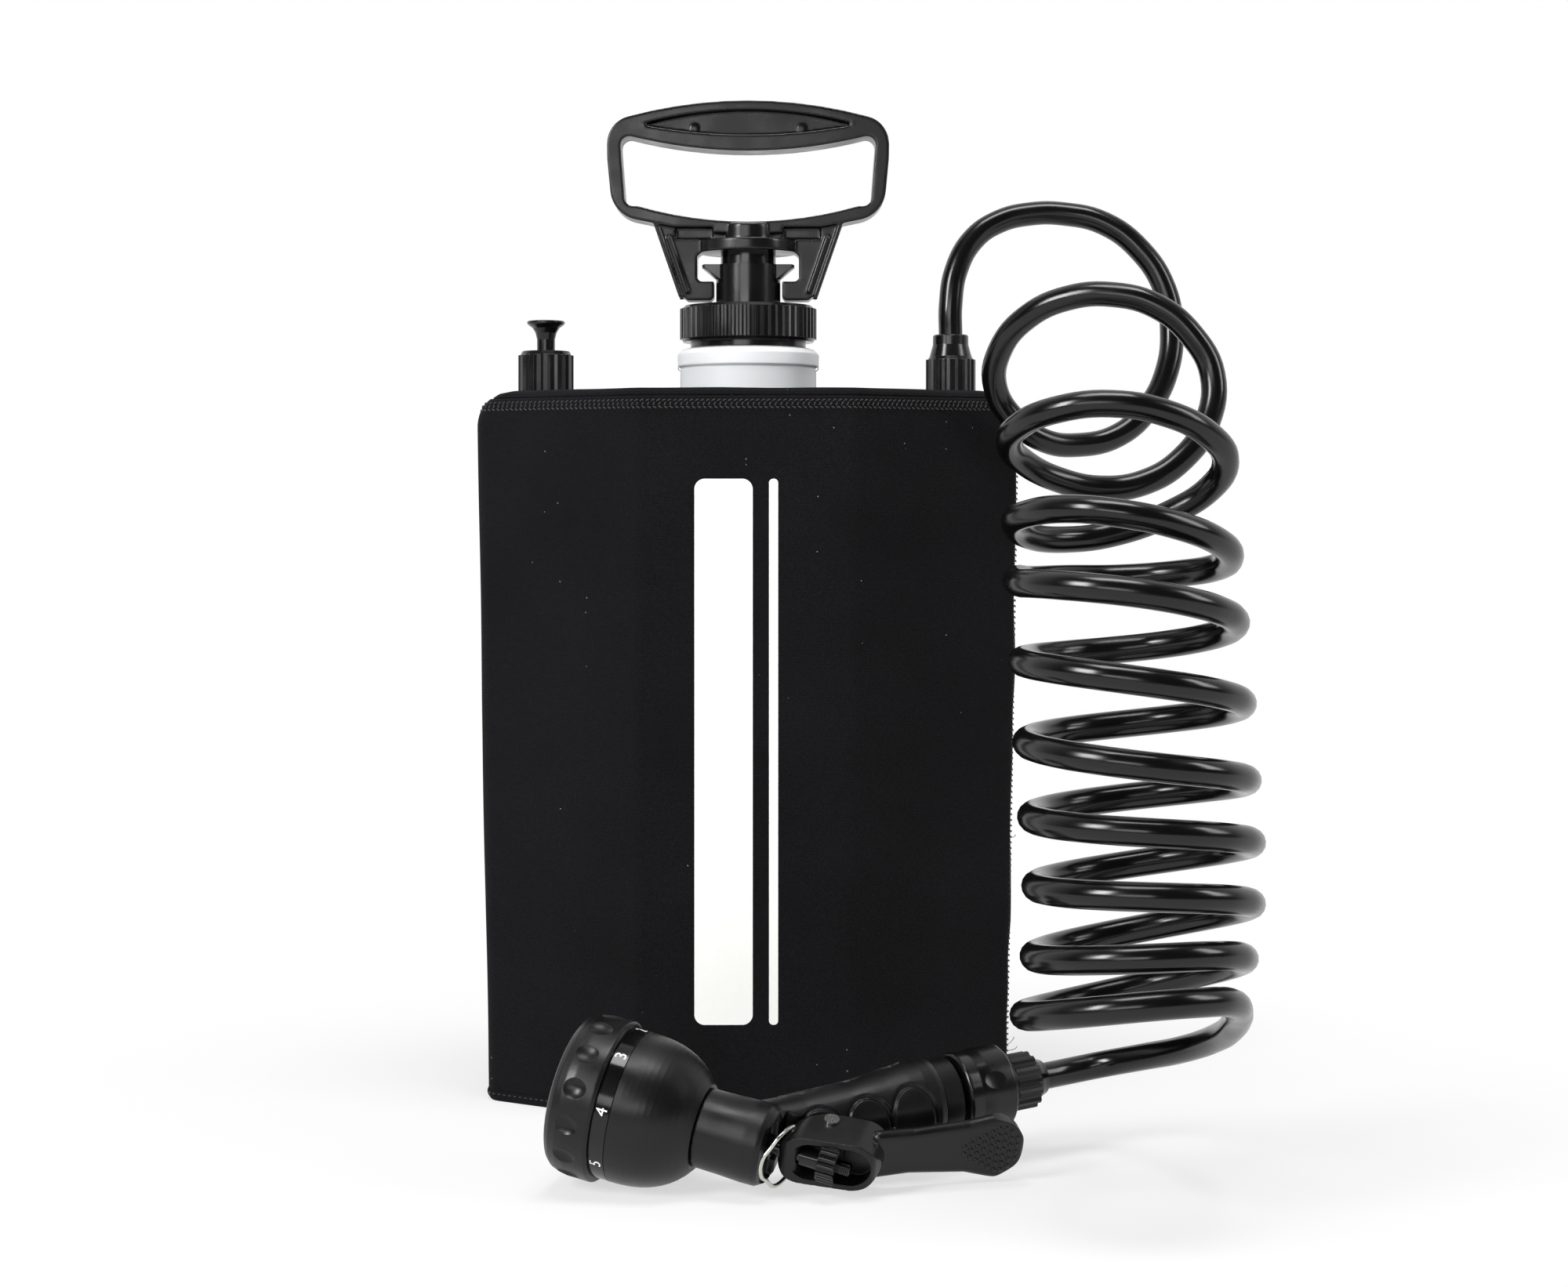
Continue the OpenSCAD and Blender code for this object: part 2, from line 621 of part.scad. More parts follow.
// Hose: its route from the outlet to the coil, then from the coil to the nozzle
riser_points = [[102, 0, 381], [102, 0, 396], [105, 2, 414], [114, 5, 430], [127, 7, 439], [143, 8, 443],
    [160, 8, 443], [180, 6, 438], [198, 3, 424], [210, 0, 404], [213, -3, 384], [210, -8, 363],
    [200, -13, 344], [184, -19, 330], [163, -25, 325], [146, -31, 327], [131, -37, 337], [121, -44, 352],
    [122, -58, 370], [134, -72, 385], [152, -82, 393], [172, -90, 394], [192, -95, 388], [208, -98, 374],
    [217, -100, 356], [214, -104, 334], [202, -108, 317], [184, -112, 306], [163, -116, 303],
    [143, -122, 307], [126, -134, 315], [118, -150, 323], [122, -169, 331], [137, -184, 337],
    [158, -190, 339], [182, -188, 335], [202, -178, 326], [212, -163, 315], [208, -147, 303],
    [192, -138, 292], [168, -135, 283], [144, -142, 280], [126, -157, 282], [118, -178, 288],
    [122, -200, 292], [136, -218, 294], [158, -228, 292], [182, -224, 287], [201, -210, 280],
    [209, -190, 273]];
tail_points = [[206, -228, 88], [205, -200, 76], [197, -172, 64], [184, -146, 54], [168, -125, 46],
    [152, -117, 39]];
coil_centre = [164.5, -219];
coil_r = 45;
coil_z0 = 64;
coil_z1 = 268;

// A point on the nozzle, from its own frame to the model's
function turned_by(v, a) = let (
    r1 = [v[0], v[1] * cos(a[0]) - v[2] * sin(a[0]), v[1] * sin(a[0]) + v[2] * cos(a[0])],
    r2 = [r1[0] * cos(a[1]) + r1[2] * sin(a[1]), r1[1], -r1[0] * sin(a[1]) + r1[2] * cos(a[1])])
    [r2[0] * cos(a[2]) - r2[1] * sin(a[2]), r2[0] * sin(a[2]) + r2[1] * cos(a[2]), r2[2]];
hose_end = nozzle_pos + turned_by([grip_x + (nose_s + nose_len) * cos(grip_angle),
    (nose_s + nose_len) * sin(grip_angle), 0], nozzle_turn);

module hose_riser() color(gloss_black)
    swept(concat([[port_x, 0, hose_exit_z]], [for (i = [1 : len(riser_points) - 1]) riser_points[i]]),
        hose_d / 2, 8);

module hose_coil() color(gloss_black)
    translate([coil_centre[0], coil_centre[1], 0])
        tube(coil_r + hose_d / 2, coil_r - hose_d / 2, coil_z0, coil_z1);

module hose_tail() color(gloss_black) swept(concat(tail_points, [hose_end]), hose_d / 2, 8);

// Nozzle
module on_nozzle() translate(nozzle_pos) rotate(nozzle_turn) children();

module on_grip() on_nozzle() translate([grip_x, 0, 0]) rotate([0, 0, grip_angle]) children();

turret_front = -ring_len - fit - bezel_len;
plate_back = turret_front + 6.2;
spigot_r = bezel_d / 2 - 4.35;

module bezel() color(black) on_nozzle() {
    r = bezel_d / 2;
    back = -ring_len - fit;
    difference() {
        turned_x([[turret_front, spigot_r - 2.4], [turret_front, r - 5.4], [turret_front + 0.9, r - 3.5],
            [turret_front + 3, r - 1.7], [turret_front + 6.5, r - 0.5], [turret_front + 10, r],
            [back - 1.2, r], [back, r - 1],
            [back, spigot_r + seat / 2], [turret_front + 1.4, spigot_r + seat / 2],
            [turret_front + 1.4, spigot_r - 2.4]]);
        for (i = [0 : bezel_dimples - 1]) rotate([360 * i / bezel_dimples, 0, 0])
            translate([turret_front + bezel_len * 0.52, 0, r + 9.3]) sphere(r = 10.4);
    }
}

module label_ring() color(gloss_black) on_nozzle()
    turned_x([[plate_back, spigot_r - 4], [plate_back, spigot_r], [-ring_len - seat, spigot_r],
        [-ring_len - seat, dome_d / 2], [-fit, dome_d / 2], [-fit, spigot_r - 4]]);

module face_plate() color(black) on_nozzle() {
    front = turret_front + 1.5;
    difference() {
        turned_x([[front, 0], [front, spigot_r], [plate_back - 0.1, spigot_r], [plate_back - 0.1, 0]]);
        // Eight spray patterns: a shower, a ring, a flat slot, a jet and plainer ones between
        for (i = [0 : 7]) rotate([i * 45, 0, 0]) translate([front - 1, 0, 19]) rotate([0, 90, 0]) {
            if (i % 4 == 0) for (a = [0 : 60 : 300]) rotate(a) translate([4, 0, 0]) cylinder(d = 1.6, h = 4);
            if (i % 4 == 1) tube(5, 4, 0, 4);
            if (i % 4 == 2) translate([-5, -0.8, 0]) cube([10, 1.6, 4]);
            if (i % 4 == 3) cylinder(d = 3, h = 4);
        }
        for (a = [0 : 60 : 300]) rotate([a, 0, 0]) translate([front - 1, 0, 5]) rotate([0, 90, 0])
            cylinder(d = 1.8, h = 4);
    }
}

seal_ring_r = spigot_r - 4 - fit;

module turret_seal() color(rubber_grey) on_nozzle() translate([-6, 0, 0]) rotate([0, 90, 0])
    rotate_extrude() translate([seal_ring_r - 1.2, 0]) circle(r = 1.3);

// Radius of the dome at the distance x behind the numbered ring
function dome_r(x) = dome_d / 2 * sqrt(1 - pow(x / (dome_len * 1.18), 2.4));

module nozzle_dome() color(black) on_nozzle() {
    outer = [for (x = [0 : dome_len / 12 : dome_len + eps]) [x, dome_r(x)]];
    inner = [for (x = [dome_len - 6 : -dome_len / 12 : 0]) [x, max(dome_r(x) - dome_wall, 14)]];
    difference() {
        turned_x(concat([[-18, seal_ring_r - 4]], [[-18, seal_ring_r], [0, seal_ring_r]], outer,
            [[dome_len, 14]], inner, [[0, seal_ring_r - 4]]));
        translate([-6, 0, 0]) rotate([0, 90, 0]) rotate_extrude()
            translate([seal_ring_r - 2.6, -1.5]) square([4, 3]);
    }
}

// Outline of the grip from its root to its end, as [distance, radius]
grip_profile = [[-6, 0], [-6, grip_r - 1.5], [10, grip_r], [30, grip_r], [52, grip_r + 1.3],
    [68, grip_r + 3], [78, grip_bulge_r - 0.8], [85, grip_bulge_r], [90, grip_bulge_r - 0.3],
    [grip_len, grip_bulge_r - 1.2]];

// Side outline of the trigger's ring, whose cheeks stand beside the pin, grown by g all round
module ring_outline(g = 0) hull() {
    translate([bar_x, 0]) circle(r = bar_r + g);
    translate([bar_x - 0.6, 4.6]) circle(r = 4.4 + g);
    translate([pin_x, pin_y]) circle(r = 5.6 + g);
    translate([ring_end - 5.5, 6.5]) circle(r = 4.5 + g);
    translate(on_lever(24, -8)) circle(r = 3.2 + g);
}

// The room that the ring sweeps as the trigger is squeezed
module ring_room() hull() for (turn = [0, 8])
    translate([pin_x, pin_y]) rotate(turn) translate([-pin_x, -pin_y]) ring_outline(1);

module nozzle_body() color(black) {
    on_nozzle() difference() {
        union() {
            turned_x([[dome_len - 7, 0], [dome_len - 7, 14 - seat], [dome_len + seat, 14 - seat],
                [dome_len + seat, neck_r - 1], [44, neck_r - 0.8], [55, neck_r - 0.3], [61, neck_r - 0.4],
                [64.5, neck_r - 2.4], [body_end, neck_r - 6], [body_end, 0]]);
            translate([grip_x, 0, 0]) rotate([0, 0, grip_angle])
                turned_x(concat(grip_profile, [[grip_len, 0]]));
            // Lug that carries the trigger pin
            translate([pin_x, pin_y, -6]) cylinder(r = 4.2, h = 12);
            translate([pin_x - 10, pin_y, -6]) cube([10, 8, 12]);
            translate([pin_x - 8, pin_y - 4.2, -6]) cube([8, 8, 12]);
        }
        // Water way through the neck, the valve chamber and the grip
        translate([dome_len - 8, 0, 0]) rotate([0, 90, 0]) cylinder(r = 6, h = 30);
        translate([valve_seat_x, 0, 0]) rotate([0, 90, 0]) cylinder(r = 9.5, h = chamber_end - valve_seat_x);
        translate([50, 0, 0]) rotate([0, 90, 0]) cylinder(r = stem_d / 2 + fit, h = 40);
        translate([seal_x, 0, 0]) rotate([0, 90, 0]) cylinder(r = stem_d / 2 + 1.4, h = 1.4, center = true);
        translate([gland_x - 0.1, 0, 0]) rotate([0, 90, 0]) cylinder(r = 6.2, h = 20);
        translate([grip_x, 0, 0]) rotate([0, 0, grip_angle]) rotate([0, 90, 0]) {
            cylinder(r = 4.5, h = grip_len + 1);
            translate([0, 0, grip_len - 14]) cylinder(r = 10, h = 20);
        }
        // Cave that takes the ring's front end and the lock clip
        translate([cave_x, -40, -14.2]) cube([bar_x + bar_r + 3 - cave_x, 40, 28.4]);
        // Room for the ring's bar and its cheeks over the trigger's whole travel
        translate([bar_x - bar_r - 1.2, -20, -cheek_half - 1])
            cube([2 * bar_r + 3.4, bar_top + 21.2, 2 * cheek_half + 2]);
        for (s = [-1, 1]) translate([0, 0, s * 17]) linear_extrude(20, center = true) ring_room();
        translate([pin_x, pin_y, -20]) cylinder(d = pin_d + 0.1, h = 40);
    }
}

module grip_pad() color(rubber_grey) on_grip() {
    lift = 1.3;
    difference() {
        turned_x([[22, 0], [22, grip_r + 0.2], [24, grip_r + lift + 0.1], [52, grip_r + 1.3 + lift],
            [66, grip_r + 2.8 + lift], [70, grip_r + 3.3], [70, 0]]);
        turned_x([[-6, 0], [-6, grip_r], [10, grip_r + 0.05], [30, grip_r + 0.05], [52, grip_r + 1.35],
            [68, grip_r + 3.05], [78, grip_bulge_r], [78, 0]]);
        translate([0, -60, -40]) cube([120, 70, 80]);
        for (s = [-1, 1]) translate([0, 0, s * 27]) cube([300, 80, 40], center = true);
    }
}

module gland_nut() color(black) on_nozzle() translate([gland_x, 0, 0]) rotate([0, 90, 0]) difference() {
    cylinder(r = 6, h = gland_len, $fn = 6);
    translate([0, 0, -1]) cylinder(r = stem_d / 2 + fit, h = 10);
}

module stem_seal() color(rubber_grey) on_nozzle() translate([seal_x, 0, 0]) rotate([0, 90, 0])
    rotate_extrude() translate([stem_d / 2 + 0.7, 0]) circle(r = 0.6);

module valve_stem() color(steel) on_nozzle() {
    stem_end = knob_x + knob_len + 5.6;
    turned_x([[valve_seat_x + 0.1, 0], [valve_seat_x + 0.1, 8], [49, 8], [49, stem_d / 2],
        [stem_end - 0.6, stem_d / 2], [stem_end, stem_d / 2 - 0.6], [stem_end, 0]]);
}

module valve_spring() color(steel) on_nozzle() translate([49.1, 0, 0]) rotate([0, 90, 0])
    spring(5, 0.6, chamber_end - 49.2, 3);

module flow_knob() color(gloss_black) on_nozzle() rotate([0, 90, 0]) difference() {
    union() {
        translate([0, 0, knob_x]) fluted(16, knob_d / 2 - 0.9, knob_d / 2, knob_len);
        translate([0, 0, hub_x]) cylinder(r = 4.2, h = knob_x - hub_x + 1);
    }
    translate([0, 0, hub_x - 1]) cylinder(d = stem_d + 0.1, h = 40);
}

// A point on the lever, u along it from the pin and v towards the grip
function on_lever(u, v) = [pin_x + u * cos(lever_angle) - v * sin(lever_angle),
    pin_y + u * sin(lever_angle) + v * cos(lever_angle)];

module lever_station(u, v, half, t) {
    p = on_lever(u, v);
    for (s = [-1, 1]) translate([p[0], p[1], s * (half - t / 2)]) sphere(d = t, $fn = 16);
}

// Front outline of the ring, a stadium from x0 to x1
module ring_oval(x0, x1, r) hull() for (x = [x0 + r, x1 - r]) translate([x, 0]) circle(r = r);

module trigger() color(black) on_nozzle() {
    difference() {
        union() {
            // The oval ring round the flow knob; its cheeks carry the pin
            intersection() {
                linear_extrude(2 * cheek_half, center = true) ring_outline();
                rotate([90, 0, 0]) linear_extrude(100, center = true) difference() {
                    ring_oval(bar_x - bar_r, ring_end, cheek_half);
                    ring_oval(bar_x + 1, ring_end - 3, cheek_half - cheek_t);
                }
            }
            // The bar that draws the flow knob back
            intersection() {
                linear_extrude(2 * cheek_half, center = true) hull() {
                    translate([bar_x, 0]) circle(r = bar_r);
                    translate([bar_x - 0.6, 4.6]) circle(r = 4.4);
                }
                rotate([90, 0, 0]) linear_extrude(100, center = true) ring_oval(bar_x - bar_r, ring_end, cheek_half);
            }
            // Lever, wider at its tip and bowed away from the grip
            hull() {
                lever_station(19, -9.5, cheek_half, lever_t);
                lever_station(34, -8.6, cheek_half - 0.5, lever_t);
            }
            hull() {
                lever_station(34, -8.6, cheek_half - 0.5, lever_t);
                lever_station(60, -8.2, cheek_half + 1.5, lever_t);
            }
            hull() {
                lever_station(60, -8.2, cheek_half + 1.5, lever_t);
                lever_station(lever_len - 12, -9, lever_half, lever_t);
                lever_station(lever_len - lever_t / 2, -9.6, lever_half - 6, lever_t - 1);
            }
        }
        translate([pin_x, pin_y, -30]) cylinder(d = pin_d + 0.2, h = 60);
        // Room for the body behind the bar, between the cheeks
        translate([bar_x - 12, bar_top, cheek_t - cheek_half])
            cube([20, 14, 2 * (cheek_half - cheek_t)]);
        // Slot for the valve stem, which stays straight while the ring swings
        hull() for (y = [0, 2.3]) translate([bar_x - 10, y, 0]) rotate([0, 90, 0]) cylinder(r = stem_d / 2 + 0.5, h = 20);
        for (s = [-1, 1]) translate([bar_x, 1.5, s * (cheek_half - 1)]) cylinder(d = wire_d + 0.3, h = 3.2, center = true);
    }
}

module trigger_pin() color(steel) on_nozzle() translate([pin_x, pin_y, 0]) {
    translate([0, 0, -cheek_half - 0.5]) cylinder(d = pin_d, h = 2 * cheek_half + 1);
    translate([0, 0, cheek_half + 0.1]) cylinder(d = pin_d + 2.6, h = 1.2);
    translate([0, 0, -cheek_half - 1.3]) cylinder(d = pin_d + 2.6, h = 1.2);
}

module lock_clip() color(steel) on_nozzle() {
    side = cheek_half + wire_d / 2 + fit;
    half = [[bar_x, 1.5, cheek_half - 2], [bar_x, 1.5, side - 0.5], [bar_x - 0.2, 0.9, side],
        [bar_x - 3.2, -8.6, side], [bar_x - 5.8, -12.2, 8], [bar_x - 7.6, -14.8, 4.5]];
    swept(concat(half, [for (i = [len(half) - 1 : -1 : 0]) [half[i][0], half[i][1], -half[i][2]]]),
        wire_d / 2, 8);
}

module hose_adaptor() color(black) on_grip() difference() {
    turned_x([[grip_len - 13, 0], [grip_len - 13, 10 - seat], [adaptor_s, 10 - seat], [adaptor_s, adaptor_r],
        [adaptor_s + adaptor_len - 1, adaptor_r], [adaptor_s + adaptor_len, adaptor_r - 1],
        [adaptor_s + adaptor_len, 8], [sleeve_s + 14, 8], [sleeve_s + 16, 6.5], [sleeve_s + 16, 0]]);
    translate([grip_len - 20, 0, 0]) rotate([0, 90, 0]) cylinder(r = 4.5, h = 80);
    translate([sleeve_s + 8, 0, 0]) rotate([0, 90, 0]) tube(10, 6.4, -1, 1);
}

// Stations of the coupler's lip and of the flange that its spring bears on
coupler_lip = 2;
coupler_flange = 12;

module coupler_body() color(black) on_grip() difference() {
    turned_x([[sleeve_s + 0.4, 0], [sleeve_s + 0.4, 12.5], [sleeve_s + coupler_flange, 12.5],
        [sleeve_s + coupler_flange, 14], [sleeve_s + coupler_flange + 3, 14], [sleeve_s + coupler_flange + 3, 12.5],
        [hose_nut_s - 0.1, 12.5], [hose_nut_s - 0.1, 0]]);
    translate([sleeve_s - 5, 0, 0]) rotate([0, 90, 0]) cylinder(r = 8 + seat, h = 21.2);
    translate([sleeve_s, 0, 0]) rotate([0, 90, 0]) cylinder(r = 4, h = 60);
}

module coupler_sleeve() color(black) on_grip()
    turned_x([[sleeve_s, 12.5 + fit], [sleeve_s, coupler_r - 1], [sleeve_s + 1, coupler_r],
        [sleeve_s + 7, coupler_r - 0.6], [sleeve_s + 12, coupler_r], [sleeve_s + coupler_len - 1, coupler_r],
        [sleeve_s + coupler_len, coupler_r - 1], [sleeve_s + coupler_len, 14 + fit],
        [sleeve_s + coupler_lip, 14 + fit], [sleeve_s + coupler_lip, 12.5 + fit]]);

module coupler_spring() color(steel) on_grip() translate([sleeve_s + coupler_lip + 0.1, 0, 0]) rotate([0, 90, 0])
    spring(13.4, 0.5, coupler_flange - coupler_lip - 0.2, 2.5);

module coupler_seal() color(rubber_grey) on_grip() translate([sleeve_s + 8, 0, 0]) rotate([0, 90, 0])
    rotate_extrude() translate([7.3, 0]) circle(r = 0.8);

module nozzle_nut() color(black) on_grip() translate([hose_nut_s, 0, 0]) rotate([0, 90, 0]) difference() {
    fluted(14, hose_nut_r - 1, hose_nut_r, hose_nut_len);
    translate([0, 0, -1]) cylinder(r = 4, h = hose_nut_len + 2);
}

module nozzle_ferrule() color(gloss_black) on_grip() difference() {
    turned_x([[nose_s, 0], [nose_s, hose_nut_r - 2.2], [nose_s + 2, hose_nut_r - 3], [nose_s + 4, 8.6],
        [nose_s + nose_len, 7.8], [nose_s + nose_len, 0]]);
    translate([nose_s - 1, 0, 0]) rotate([0, 90, 0]) cylinder(r = 4, h = nose_len + 2);
}

tank();
sleeve_wrap();
sleeve_top();
sleeve_base();
neck_gasket();
pump_barrel();
foot_valve();
pump_collar();
pump_rod();
piston();
piston_seal();
pump_handle();
relief_nut();
relief_stem();
relief_seal();
relief_spring();
outlet_fitting();
outlet_gasket();
outlet_nut();
hose_ferrule();
dip_tube();
dip_filter();
hose_riser();
hose_coil();
hose_tail();
bezel();
label_ring();
face_plate();
turret_seal();
nozzle_dome();
nozzle_body();
grip_pad();
gland_nut();
stem_seal();
valve_stem();
valve_spring();
flow_knob();
trigger();
trigger_pin();
lock_clip();
hose_adaptor();
coupler_body();
coupler_sleeve();
coupler_spring();
coupler_seal();
nozzle_nut();
nozzle_ferrule();
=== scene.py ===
import math

import bpy
from mathutils import Matrix, Vector, noise


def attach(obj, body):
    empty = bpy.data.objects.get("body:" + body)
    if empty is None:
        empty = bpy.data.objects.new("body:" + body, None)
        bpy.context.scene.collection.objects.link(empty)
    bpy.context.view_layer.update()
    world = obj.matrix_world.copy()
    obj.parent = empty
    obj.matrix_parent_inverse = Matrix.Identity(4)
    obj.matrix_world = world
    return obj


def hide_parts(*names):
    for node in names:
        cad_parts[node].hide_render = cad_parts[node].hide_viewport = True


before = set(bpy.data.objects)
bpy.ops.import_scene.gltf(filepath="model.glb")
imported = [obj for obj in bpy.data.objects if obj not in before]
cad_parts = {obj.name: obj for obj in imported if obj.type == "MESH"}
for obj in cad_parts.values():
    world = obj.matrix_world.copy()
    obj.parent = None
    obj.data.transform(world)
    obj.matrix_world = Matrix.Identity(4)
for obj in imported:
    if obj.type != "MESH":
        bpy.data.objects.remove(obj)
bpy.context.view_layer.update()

bl_info = {
    "name": "Portable pump shower",
    "version": (1, 0, 0),
    "blender": (4, 5, 0),
    "location": "3D View > Sidebar > Shower",
    "description": "Dresses the packed model of a portable pump shower",
    "category": "Object",
}

MM = 0.001


def linear(colour):
    """Linear RGB of an sRGB hex colour."""
    parts = [int(colour[i:i + 2], 16) / 255 for i in (1, 3, 5)]
    return tuple(c / 12.92 if c <= 0.04045 else ((c + 0.055) / 1.055) ** 2.4 for c in parts)


def length_prop(name, description, default):
    return bpy.props.FloatProperty(name=name, description=description, default=default, min=0.0,
                                   unit="LENGTH", precision=5)


def colour_prop(name, description, default):
    return bpy.props.FloatVectorProperty(name=name, description=description, default=linear(default),
                                         min=0.0, max=1.0, size=3, subtype="COLOR")


class ShowerSizes(bpy.types.PropertyGroup):
    hose_diameter: length_prop("Hose diameter", "Outer diameter of the hose", 0.012)
    hose_length: length_prop("Hose length", "Length of the hose from the outlet to the nozzle", 3.25)
    knit_pitch: length_prop("Knit pitch", "Distance between the wales of the sleeve's knit", 0.0009)
    hem_height: length_prop("Hem height", "Height of the binding round the sleeve's base", 0.0052)
    stitch_pitch: length_prop("Stitch pitch", "Distance between stitches in the seams", 0.0027)
    stitch_length: length_prop("Stitch length", "Length of one stitch", 0.0021)
    thread_width: length_prop("Thread width", "Width of the sewing thread", 0.0007)
    digit_height: length_prop("Digit height", "Height of the numbers on the nozzle's ring", 0.0052)
    bump_diameter: length_prop("Grip bump", "Diameter of the bumps on the lever's tip", 0.0023)
    moulded_radius: length_prop("Moulded edge", "Radius of the edges of moulded parts", 0.0003)


class ShowerColours(bpy.types.PropertyGroup):
    neoprene: colour_prop("Neoprene", "Face fabric of the sleeve", "#0f0e10")
    thread: colour_prop("Thread", "Sewing thread of the sleeve", "#161517")
    ink: colour_prop("Ink", "Printed stripes and numbers", "#f1f1ee")
    polyethylene: colour_prop("Polyethylene", "Tank, neck and dip tube", "#dcdee0")
    grained: colour_prop("Grained plastic", "Nozzle's body, bezel and lever", "#0d0d0e")
    satin: colour_prop("Satin plastic", "Pump, collar and nuts", "#0b0b0c")
    polished: colour_prop("Polished plastic", "Numbered ring, knobs and ferrules", "#090909")
    vinyl: colour_prop("Vinyl", "Hose", "#070708")
    rubber: colour_prop("Rubber", "Seals, valve and grip pad", "#1a1a1b")
    steel: colour_prop("Steel", "Pin, clip and springs", "#c9c7c0")
    # Dark grey steel on the valve stem and its thread, darker than the pin, clip and springs
    blackened: colour_prop("Blackened steel", "Valve stem and its thread", "#3a3a3c")


def add_node(material, kind, settings=(), links=()):
    """Adds a shader node; settings and links go by socket name or number, or by property."""
    node = material.node_tree.nodes.new("ShaderNode" + kind)
    for key, value in dict(settings).items():
        if isinstance(key, int) or key in node.inputs:
            node.inputs[key].default_value = value
        else:
            setattr(node, key, value)
    for key, (source, output) in dict(links).items():
        material.node_tree.links.new(source.outputs[output], node.inputs[key])
    return node


def start_material(name, colour, roughness, **sockets):
    """A new material, its shader and the link that lays a pattern on the piece's Object coordinates."""
    material = bpy.data.materials.new(name)
    material.use_nodes = True
    shader = material.node_tree.nodes["Principled BSDF"]
    shader.inputs["Base Color"].default_value = (*colour, 1)
    shader.inputs["Roughness"].default_value = roughness
    for key, value in sockets.items():
        shader.inputs[key.replace("_", " ").title().replace("Ior", "IOR")].default_value = value
    material.diffuse_color = (*colour, 1)
    place = add_node(material, "TexCoord")
    return material, shader, {"Vector": (place, "Object")}


def link(material, source, output, shader, socket):
    material.node_tree.links.new(source.outputs[output], shader.inputs[socket])


def moulded_plastic(name, colour, roughness, grain, height, spread=0.07, **sockets):
    """Moulded plastic: a spark-eroded grain, soft changes of gloss and fine dust; grain in millimetres."""
    material, shader, here = start_material(name, colour, roughness, **sockets)
    sizes = bpy.context.scene.shower_sizes
    flow = add_node(material, "TexNoise", {"Scale": 1 / (22 * MM), "Detail": 3.0}, here)
    gloss = add_node(material, "MapRange", {"To Min": roughness - spread, "To Max": roughness + spread,
                                            "From Min": 0.35, "From Max": 0.65}, {"Value": (flow, "Fac")})
    link(material, gloss, "Result", shader, "Roughness")
    paler = [min(c * 1.35, 1) for c in colour]
    shade = add_node(material, "Mix", {"data_type": "RGBA", 6: (*colour, 1), 7: (*paler, 1)},
                     {0: (flow, "Fac")})
    link(material, shade, 2, shader, "Base Color")
    edge = add_node(material, "Bevel", {"samples": 4, "Radius": sizes.moulded_radius})
    fine = add_node(material, "TexNoise", {"Scale": 1 / (grain * MM), "Detail": 2.0}, here)
    bump = add_node(material, "Bump", {"Strength": 0.6, "Distance": height * MM},
                    {"Height": (fine, "Fac"), "Normal": (edge, "Normal")})
    link(material, bump, "Normal", shader, "Normal")
    return material


# Metres between the bands of a wave texture at scale 1
WAVE_PITCH = 0.31416


